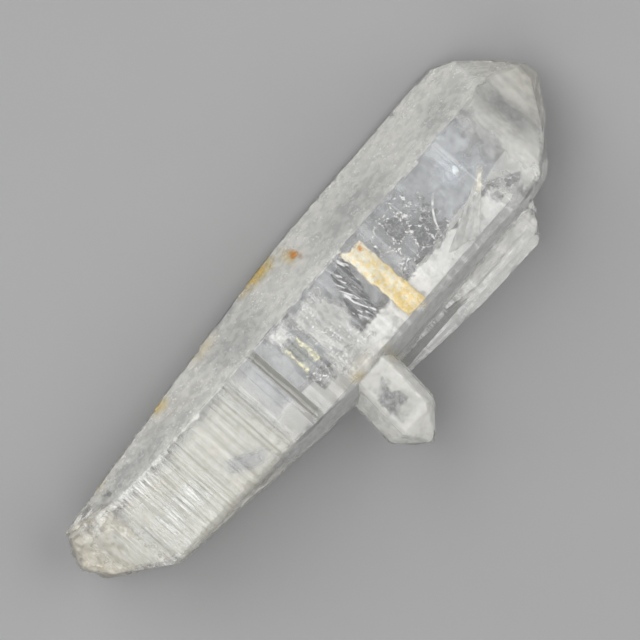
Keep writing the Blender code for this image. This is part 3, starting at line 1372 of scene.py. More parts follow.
@dataclass(frozen=True)
class SheetFinish:
    """The finish of a sheet inside: two colours and how solid it is, by a pattern.

    Its cover runs from thin to solid, low and high are where the pattern starts and is full, and
    the pattern is stretched, scaled and turned about the vertical. A fade runs from its first
    value to its second, and the fields after lift are each one pattern's own.
    """

    name: str
    light: Colour
    dark: Colour
    thin: float
    solid: float
    scale: float
    pattern: Pattern = Pattern.SOFT
    low: float = 0.40
    high: float = 0.62
    stretch: Triple = (1.0, 1.0, 1.0)
    turn: float = 0.0
    rim: float = 0.25
    raggedness: float = 0.3
    roughness: float = 0.5
    light_roughness: float = 0.2
    sheen: float = 0.2
    lift: float = 0.0
    soft_fade: Span = (0.34, 0.66)
    blade_middle: float = 0.52
    blade_fade: Span = (0.54, 0.62)
    line_drift: float = 0.9
    gap_scale: float = 1.7
    gap_fade: Span = (0.36, 0.56)
    lens_fade: Span = (0.62, 0.44)
    lens_body: float = 0.8
    twist_scale: float = 1.7
    crackle_scale: float = 2.6
    seam_fade: Span = (0.07, 0.0)
    seam_breaks: Span = (0.42, 0.58)
    seam_cover: float = 0.8
    speck_fade: Span = (0.54, 0.62)
    speck_reach: Span = (0.22, 0.04)
    cell_cover: float = 0.75
    cell_fade: Span = (0.40, 0.75)
    cell_light: float = 0.35
    dot_scale: float = 3.6
    dot_fade: Span = (0.56, 0.64)
    dot_body: float = 0.6

    def figure(
        self, nodes: Nodes, place: object, sheet: object, effects: SharedEffects
    ) -> tuple[object, object]:
        """The pattern.

        Args:
            nodes: The material's nodes.
            place: Place in millimetres.
            sheet: Place on the sheet, from 0 to 1 each way.
            effects: The shared groups.

        Returns:
            How light the sheet is and how solid it is, both from 0 to 1.
        """
        rotation = (0.0, 0.0, math.radians(self.turn))
        turned = nodes.add("Mapping", {"Vector": place, "Rotation": rotation})
        factors = tuple(self.scale * part for part in self.stretch)
        drawn = nodes.stretched(turned.outputs[0], factors)
        cloud = nodes.noise(drawn, 1.0, 3.0, 0.3)
        match self.pattern:
            case Pattern.SOFT:
                return self.soft(nodes, place, sheet, cloud)
            case Pattern.BLADES:
                solid = nodes.math("ABSOLUTE", nodes.less(cloud, self.blade_middle))
                light = nodes.fade(cloud, *self.blade_fade)
                return light, nodes.fade(solid, self.low, self.high)
            case Pattern.RIMMED:
                return self.rimmed(nodes, place, sheet, cloud)
            case Pattern.CRACKLE:
                return self.crackled(nodes, place, drawn)
        return self.specked(nodes, place, cloud, effects)

    def soft(
        self, nodes: Nodes, place: object, sheet: object, cloud: object
    ) -> tuple[object, object]:
        """Mottled light and dark, solid where the cloud is thick, and lighter to one side.

        Args:
            nodes: The material's nodes.
            place: Place in millimetres.
            sheet: Place on the sheet, from 0 to 1 each way.
            cloud: The drawn-out noise.

        Returns:
            How light and how solid it is.
        """
        across = nodes.less(nodes.part(sheet, "Y"), 0.5)
        light = nodes.fade(nodes.noise(place, SPECKLE, 3.0), *self.soft_fade)
        lifted = nodes.math("ADD", light, nodes.times(across, self.lift), use_clamp=True)
        return lifted, nodes.fade(cloud, self.low, self.high)

    def rimmed(
        self, nodes: Nodes, place: object, sheet: object, cloud: object
    ) -> tuple[object, object]:
        """Two broken bright lines along the sheet's long sides, with a dark body between.

        Args:
            nodes: The material's nodes.
            place: Place in millimetres.
            sheet: Place on the sheet, from 0 to 1 each way.
            cloud: The drawn-out noise.

        Returns:
            How light and how solid it is.
        """
        off = nodes.math("ABSOLUTE", nodes.less(nodes.part(sheet, "X"), 0.5))
        drift = nodes.times(nodes.less(cloud, NOISE_MIDDLE), self.line_drift)
        line = nodes.fade(nodes.plus(off, drift), self.low, self.high)
        gaps = nodes.fade(nodes.noise(place, self.gap_scale, 3.0), *self.gap_fade)
        body = nodes.times(nodes.fade(cloud, *self.lens_fade), self.lens_body)
        return line, nodes.most(nodes.times(line, gaps), body)

    def crackled(self, nodes: Nodes, place: object, drawn: object) -> tuple[object, object]:
        """Cells that are each dark or clear, with bright broken seams and specks between.

        Args:
            nodes: The material's nodes.
            place: Place in millimetres.
            drawn: The place, turned and stretched.

        Returns:
            How light and how solid it is.
        """
        twist = nodes.add("TexNoise", {"Vector": drawn, "Scale": self.twist_scale, "Detail": 3.0})
        shift = nodes.stretched(twist.outputs["Color"], (0.5, 0.5, 0.5))
        moved = nodes.add("VectorMath", {0: drawn, 1: shift}, operation="ADD").outputs[0]
        cells = {"Vector": moved, "Scale": 1.0}
        tone = nodes.part(nodes.add("TexVoronoi", cells).outputs["Color"], "X")
        border = nodes.add("TexVoronoi", cells, feature="DISTANCE_TO_EDGE")
        edge = border.outputs["Distance"]
        grain = nodes.noise(place, self.crackle_scale, 4.0, 0.8)
        broken = nodes.fade(grain, *self.seam_breaks)
        seam = nodes.times(nodes.fade(edge, *self.seam_fade), broken)
        near_seam = nodes.fade(edge, *self.speck_reach)
        speck = nodes.times(nodes.fade(grain, *self.speck_fade), near_seam)
        white = nodes.most(nodes.times(seam, self.seam_cover), speck)
        body = nodes.times(nodes.fade(tone, self.high, self.low), self.cell_cover)
        glow = nodes.times(nodes.fade(grain, *self.cell_fade), self.cell_light)
        return nodes.most(white, glow), nodes.most(body, white)

    def specked(
        self, nodes: Nodes, place: object, cloud: object, effects: SharedEffects
    ) -> tuple[object, object]:
        """A soft body with clusters of bright specks.

        Args:
            nodes: The material's nodes.
            place: Place in millimetres.
            cloud: The drawn-out noise.
            effects: The shared groups.

        Returns:
            How light and how solid it is.
        """
        pits = nodes.group(effects.pits, {"Place": place, "Scale": 1.2, "Share": 0.55})
        dots = nodes.fade(nodes.noise(place, self.dot_scale, 3.0, 0.5), *self.dot_fade)
        speck = nodes.times(dots, pits.outputs["Mask"])
        body = nodes.fade(cloud, self.low, self.high)
        return speck, nodes.most(nodes.times(body, self.dot_body), speck)

    def make(self, effects: SharedEffects) -> bpy.types.Material:
        """Makes the material.

        Args:
            effects: The shared groups.

        Returns:
            The material.
        """
        material, nodes = new_material(self.name)
        source = nodes.add("TexCoord")
        place, sheet = nodes.millimetres(source.outputs["Object"]), source.outputs["UV"]
        light, solid = self.figure(nodes, place, sheet, effects)
        rim = nodes.group(
            effects.rim,
            {"Place": place, "UV": sheet, "Depth": self.rim, "Raggedness": self.raggedness},
        )
        reach = nodes.share(solid, (self.thin, self.solid - self.thin))
        shader = nodes.add(
            "BsdfPrincipled",
            {
                "Base Color": nodes.mix(light, self.dark, self.light),
                "Roughness": nodes.share(light, (self.roughness, self.light_roughness)),
                "Specular IOR Level": self.sheen,
                "Alpha": nodes.times(reach, rim.outputs["Mask"]),
            },
        )
        nodes.add("OutputMaterial", {"Surface": shader.outputs[0]})
        return material


def face_table(**faces: tuple[Triple, ...]) -> dict[Side, tuple[Plane, ...]]:
    """Makes the planes of each side.

    Args:
        faces: By the side's name in small letters, each face as (place, distance there, lean).

    Returns:
        Each side's planes.
    """
    return {
        Side[name.upper()]: tuple(Plane(*face) for face in rows) for name, rows in faces.items()
    }


MAIN_CENTRE = (0.05, 2.80, 6.5)
COMPANION_CENTRE = (0.05, -6.39, 4.0)
SIDE_POINT_CENTRE = (-0.75, -8.95, 8.75)
SIDE_POINT_HEADING = (-0.073, -0.987, -0.140)

MAIN_FACES = face_table(
    roof=(
        (-38.7, 2.70, 0.40), (-34.0, 4.50, 0.20), (-27.5, 5.75, 0.085), (-8.1, 6.70, 0.043),
        (-8.1, 6.70, -0.0125), (33.4, 6.18, PYRAMID),
    ),
    back_slope=(
        (-38.7, 8.00, 0.10), (-24.0, 8.20, 0.019), (-9.0, 8.46, -0.002), (38.5, 6.10, -0.88),
    ),
    back_undercut=(
        (-38.7, 7.00, 0.30), (3.5, 13.10, 0.142), (3.5, 13.20, 0.020), (38.5, 8.55, -0.98),
    ),
    floor=((-35.9, 6.5, 1.2), (0.0, 6.5, 0.0), (34.2, 6.5, PYRAMID)),
    front_undercut=((-33.3, 2.40, 0.10), (4.1, 6.00, -0.064), (33.4, 4.30, -0.70)),
    front_slope=(
        (-19.2, 7.26, 0.10), (-2.3, 8.92, 0.002), (30.0, 8.85, -0.10), (33.4, 7.60, -0.94),
    ),
)

GROWTH_LEDGES = (
    (-33.6, -32.8, 0.14),
    (-32.2, -28.1, 0.13),
    (-27.4, -26.6, 0.12),
    (-25.9, -24.2, 0.14),
    (-19.4, -15.2, 0.22),
    (-14.2, -13.2, 0.10),
    (-11.8, -8.4, 0.18),
    (-4.6, -1.4, 0.10),
    (6.2, 7.5, 0.12),
    (10.4, 17.4, 0.08),
    (26.6, 31.8, 0.06),
)

MAIN_PLATES = {
    Side.ROOF: (
        Plates(60, 0.035, 0.25, 0.7, -36.5, -21.0, 0.5, 1.6),
        Plates(24, 0.030, 0.4, 2.0, -21.0, -3.0, 0.3, 1.4),
        Plates(50, 0.050, 0.4, 1.8, -5.5, 21.0, 0.06, 0.3),
        Plates(8, 0.020, 2.0, 6.0, 20.0, 33.0, 0.1, 0.5),
    ),
    Side.BACK_SLOPE: (
        Plates(26, 0.030, 0.3, 1.6, -35.0, -15.0),
        Plates(30, 0.025, 1.0, 6.0, -16.0, 35.0),
    ),
    Side.FRONT_SLOPE: (Plates(24, 0.015, 0.6, 5.0, -33.0, 32.0),),
    Side.BACK_UNDERCUT: (Plates(40, 0.040, 0.5, 4.0, -33.0, 30.0),),
    Side.FRONT_UNDERCUT: (Plates(60, 0.040, 0.5, 5.0, -33.0, 25.0),),
    Side.FLOOR: (Plates(50, 0.030, 0.8, 6.0, -33.0, 32.0),),
}

MAIN_CHIPS = (
    Chips(Side.BACK_SLOPE, -36.0, 33.0, 9, 0.20, 0.6),
    Chips(Side.ROOF, -34.0, 32.0, 9, 0.15, 0.40),
    Chips(Side.FRONT_UNDERCUT, -34.0, 31.0, 8, 0.20, 0.5),
    Chips(Side.FRONT_SLOPE, -33.0, 31.0, 8, 0.10, 0.30),
)

BASE_BREAK = Break(
    name="base_break",
    facing=(-1.0, 0.0, 0.0),
    planes=(
        ((-41.85, 4.4, 0.0), (-1.0, 0.50, 0.08)),
        ((-41.3, 2.4, 0.0), (-1.0, -0.46, 0.12)),
        ((-38.3, -1.2, 0.0), (-0.87, -1.0, -0.15)),
        ((-34.6, -3.9, 0.0), (-0.75, -1.0, 0.10)),
        ((-38.8, 9.35, 0.0), (-0.33, 0.94, 0.0)),
        ((-41.0, 7.3, 0.0), (-0.78, 0.62, 0.1)),
    ),
    middle=(2.5, 0.0),
    reach=9.5,
    pitch=0.17,
    grain=0.08,
    fan=(9.5, -7.0, 0.45),
    shells=(
        (5.0, 2.4, 2.2, 0.5),
        (0.6, -2.6, 2.4, 0.6),
        (6.4, -2.2, 1.9, 0.4),
        (-2.8, 1.0, 1.8, 0.4),
    ),
)

TIP_BREAK = Break(
    name="tip_break",
    facing=(0.80, -0.25, 0.55),
    planes=(((40.8, 3.4, 0.9), (0.80, -0.25, 0.55)),),
    middle=(13.6, 22.0),
    reach=4.0,
    pitch=0.2,
    grain=0.03,
    depth=5.0,
)

MAIN = HexCrystal(
    name=NODE + "_skin",
    planes=MAIN_FACES,
    columns=dict(zip(SIDES, (30, 34, 8, 14, 22, 12))),
    start=-41.86,
    end=41.7,
    pitch=0.25,
    centre=MAIN_CENTRE,
    ledges=GROWTH_LEDGES,
    fine=(-41.8, -22.0, 0.125),
    plates=MAIN_PLATES,
    chips=MAIN_CHIPS,
    rough_below=-37.0,
    rays=(-44.0, 8.0, 0.34),
    line_height=0.05,
    lined_until=-14.0,
    grooves=((-8.36, -7.40, 0.10), (-12.55, -12.45, 0.05)),
    cuts=BASE_BREAK.planes + TIP_BREAK.planes,
)

RIDGE = HexCrystal(
    name="companion_ridge",
    planes=face_table(
        roof=((0.0, 3.60, 0.0), (26.0, 3.60, PYRAMID)),
        back_slope=((0.0, 1.25, 0.0),),
        back_undercut=((0.0, 3.60, 0.0),),
        floor=((0.0, 3.20, 0.0), (25.0, 3.20, PYRAMID)),
        front_undercut=((4.0, -0.68, 0.085), (16.0, 0.36, 0.020), (26.6, 0.50, PYRAMID)),
        front_slope=((4.0, 3.50, 0.075), (16.0, 4.48, 0.012), (25.4, 4.52, PYRAMID)),
    ),
    columns=dict(zip(SIDES, (8, 16, 4, 8, 16, 4))),
    start=2.2,
    end=29.0,
    pitch=0.3,
    centre=COMPANION_CENTRE,
    ledges=((6.9, 12.0, 0.05), (26.9, 27.5, 0.22), (28.1, 28.4, 0.2)),
    plates={
        Side.ROOF: (Plates(20, 0.015, 0.3, 3.0, 3.0, 26.0),),
        Side.BACK_SLOPE: (
            Plates(30, 0.02, 0.2, 1.0, 3.0, 14.0), Plates(12, 0.02, 0.5, 3.0, 12.0, 26.0)
        ),
        Side.FRONT_UNDERCUT: (Plates(20, 0.02, 0.4, 3.0, 3.0, 26.0),),
    },
    chips=(Chips(Side.FRONT_UNDERCUT, 4.0, 27.0, 6, 0.2, 0.5),),
    seed=23,
)

LOW_SHELF = HexCrystal(
    name="companion_low_shelf",
    planes=face_table(
        roof=((0.0, 1.75, 0.0),),
        back_slope=((0.0, 5.60, 0.0),),
        back_undercut=((0.0, 7.40, 0.0),),
        floor=((0.0, 2.90, 0.0),),
        front_undercut=((4.0, -1.05, 0.060),),
        front_slope=((4.0, 3.00, 0.050),),
    ),
    columns=dict(zip(SIDES, (18, 10, 4, 8, 8, 4))),
    start=1.6,
    end=27.5,
    pitch=0.35,
    centre=COMPANION_CENTRE,
    plates={Side.ROOF: (Plates(60, 0.08, 0.2, 0.7, 2.0, 13.5),)},
    seed=29,
)

HIGH_SHELF = HexCrystal(
    name="companion_high_shelf",
    planes=face_table(
        roof=((12.5, 1.70, 0.34), (0.0, 3.20, 0.0), (27.0, 3.20, -0.60)),
        back_slope=((0.0, 4.60, 0.0),),
        back_undercut=((0.0, 7.00, 0.0),),
        floor=((0.0, 2.60, 0.0),),
        front_undercut=((16.0, -0.05, 0.020), (26.3, 0.80, PYRAMID)),
        front_slope=((16.0, 3.70, 0.020), (26.3, 3.40, PYRAMID)),
    ),
    columns=dict(zip(SIDES, (18, 10, 4, 8, 10, 6))),
    start=12.5,
    end=30.4,
    pitch=0.3,
    centre=COMPANION_CENTRE,
    ledges=((27.6, 28.0, 0.2), (28.9, 29.5, 0.24)),
    plates={
        Side.ROOF: (Plates(24, 0.10, 0.3, 1.0, 12.5, 17.5), Plates(24, 0.02, 0.4, 3.0, 15.0, 28.0))
    },
    seed=31,
)

SIDE_POINT = HexCrystal(
    name="side_point",
    planes=face_table(
        roof=((-7.6, 3.00, 0.795), (0.0, 3.50, -0.010), (2.5, 3.48, -0.74)),
        back_slope=((0.0, 4.45, -0.020), (2.1, 4.41, PYRAMID)),
        back_undercut=((0.0, 3.00, -0.010), (3.1, 2.97, PYRAMID)),
        floor=((0.0, 3.50, 0.0), (2.2, 3.50, PYRAMID)),
        front_undercut=((0.0, 3.50, 0.015), (3.3, 3.55, PYRAMID)),
        front_slope=((0.0, 3.05, 0.015), (2.9, 3.09, PYRAMID)),
    ),
    columns=dict(zip(SIDES, (16, 10, 14, 14, 10, 16))),
    start=-11.0,
    end=6.75,
    pitch=0.22,
    centre=SIDE_POINT_CENTRE,
    heading=SIDE_POINT_HEADING,
    ledges=((-1.4, -0.9, 0.05), (0.6, 1.6, 0.04)),
    plates={
        Side.ROOF: (Plates(40, 0.03, 0.3, 2.0, -8.0, 2.4),),
        Side.BACK_SLOPE: (Plates(30, 0.03, 0.3, 2.0, -6.0, 2.0),),
        Side.FRONT_SLOPE: (Plates(30, 0.03, 0.3, 2.0, -6.0, 2.6),),
    },
    chips=(
        Chips(Side.ROOF, -6.0, 2.4, 4, 0.15, 0.35),
        Chips(Side.FRONT_UNDERCUT, -4.0, 3.0, 3, 0.2, 0.4),
    ),
    seed=37,
)


@dataclass(frozen=True)
class QuartzSkin:
    """The outer surface of the whole specimen, grown as one, with the frosting of its sides."""

    smooth_below: float = math.radians(24)
    frosted_sides: tuple[tuple[Side, float], ...] = (
        (Side.BACK_SLOPE, 0.85),
        (Side.FRONT_UNDERCUT, 0.6),
        (Side.BACK_UNDERCUT, 0.5),
        (Side.FRONT_SLOPE, 0.25),
    )
    frosted_ends: tuple[Triple, ...] = ((-34.0, -38.5, 0.35), (35.0, 38.0, 0.4))
    facing_from: float = 0.86
    facing_fully: float = 0.97

    def build(self) -> bpy.types.Object:
        """Joins the crystals, breaks the ends off and shades the result.

        Returns:
            The skin.
        """
        skin = MAIN.build()
        for broken in (BASE_BREAK, TIP_BREAK):
            boolean(skin, broken.build(), "DIFFERENCE")
        for crystal in (LOW_SHELF, HIGH_SHELF, RIDGE, SIDE_POINT):
            boolean(skin, crystal.build(), "UNION")
        mesh = skin.data
        self.mark_frost(mesh)
        mesh.shade_smooth()
        mesh.set_sharp_from_angle(angle=self.smooth_below)
        log.info("%s: %d faces in all", skin.name, len(mesh.polygons))
        return skin

    def mark_frost(self, mesh: bpy.types.Mesh) -> None:
        """Stores how frosted each point is, by the side that it faces and the end it is near.

        Args:
            mesh: The skin's mesh.
        """
        count = len(mesh.vertices)
        points = np.empty(count * 3, np.float32)
        facing = np.empty(count * 3, np.float32)
        mesh.vertices.foreach_get("co", points)
        mesh.vertices.foreach_get("normal", facing)
        points, facing = points.reshape(-1, 3) / MM, facing.reshape(-1, 3)
        x, across = points[:, 0], facing[:, 1:]
        frost = np.zeros(count)
        for side, share in self.frosted_sides:
            near = smooth(self.facing_from, self.facing_fully, across @ side.outward)
            frost = np.maximum(frost, share * near)
        for start, full, share in self.frosted_ends:
            frost = np.maximum(frost, share * smooth(start, full, x))
        layer = mesh.attributes.new(FROST, "FLOAT", "POINT")
        layer.data.foreach_set("value", frost.astype(np.float32))

    def dress(self, skin: bpy.types.Object, effects: SharedEffects) -> None:
        """Gives the skin its finish and its place in the frame.

        Args:
            skin: The skin.
            effects: The shared groups.
        """
        finish = SkinFinish(spots=IRON_SPOTS, rust_spots=RUST_SPOTS, painted_shade_spots=PAINTED_SHADE_SPOTS)
        skin.data.materials.clear()
        skin.data.materials.append(finish.make(effects))
        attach(skin, BODY)
        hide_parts(NODE)


IRON_SPOTS = (
    Spot(-20.4, 12.9, 2.0, 1.2, 0.8),
    Spot(-11.3, 13.6, 3.2, 1.1, 0.4),
    Spot(0.0, 14.7, 4.8, 1.3, 1.0),
    Spot(4.2, 13.2, 1.2, 1.8, 0.6),
    Spot(-1.2, -3.1, 1.2, 1.0, 0.55),
    Spot(3.7, -4.2, 1.0, 2.4, 0.35),
    Spot(-33.0, 12.0, 2.0, 0.8, 0.3),
)
# painted shade: grey patches that darken the see-through back slope
PAINTED_SHADE_SPOTS = (
    Spot(-28.0, 10.4, 14.0, 1.7, 0.9),
    Spot(-7.5, 11.4, 7.0, 3.0, 0.9),
    Spot(14.0, 11.2, 10.0, 3.0, 0.9),
    Spot(30.0, 11.0, 6.0, 2.6, 0.8),
    Spot(-6.4, 14.2, 4.2, 1.7, 1.0),
)
RUST_SPOTS = (
    Spot(4.9, 13.0, 0.8, 1.0, 1.0),
    Spot(5.4, 12.1, 0.4, 0.7, 0.6),
    Spot(10.9, 7.0, 0.5, 0.6, 0.6),
)


def flake(name: str, along: Span, across: Span, height: Span, **more: object) -> Sheet:
    """A sheet that runs along the crystal and dips along it.

    Args:
        name: Name of the piece.
        along: First and last place along the crystal.
        across: First and last place across it.
        height: Heights at its first and last place.
        more: The sheet's other fields.

    Returns:
        The sheet.
    """
    start = (along[0], (across[0] + across[1]) / 2, height[0])
    length = (along[1] - along[0], 0.0, height[1] - height[0])
    return Sheet(name, start, length, (0.0, across[1] - across[0], 0.0), **more)


@dataclass(frozen=True)
class Inclusion:
    """A flaw inside the stone: a sheet, its finish and the crystal that it stays inside."""

    sheet: Sheet
    finish: SheetFinish
    host: HexCrystal = MAIN

    def build(self, effects: SharedEffects) -> bpy.types.Object:
        """Makes and dresses the piece.

        Args:
            effects: The shared groups.

        Returns:
            The piece.
        """
        made = self.sheet.build(self.host)
        made.data.materials.append(self.finish.make(effects))
        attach(made, BODY)
        log.info("%s: %d faces", made.name, len(made.data.polygons))
        return made


WHITE: Colour = (0.96, 0.96, 0.95, 1.0)

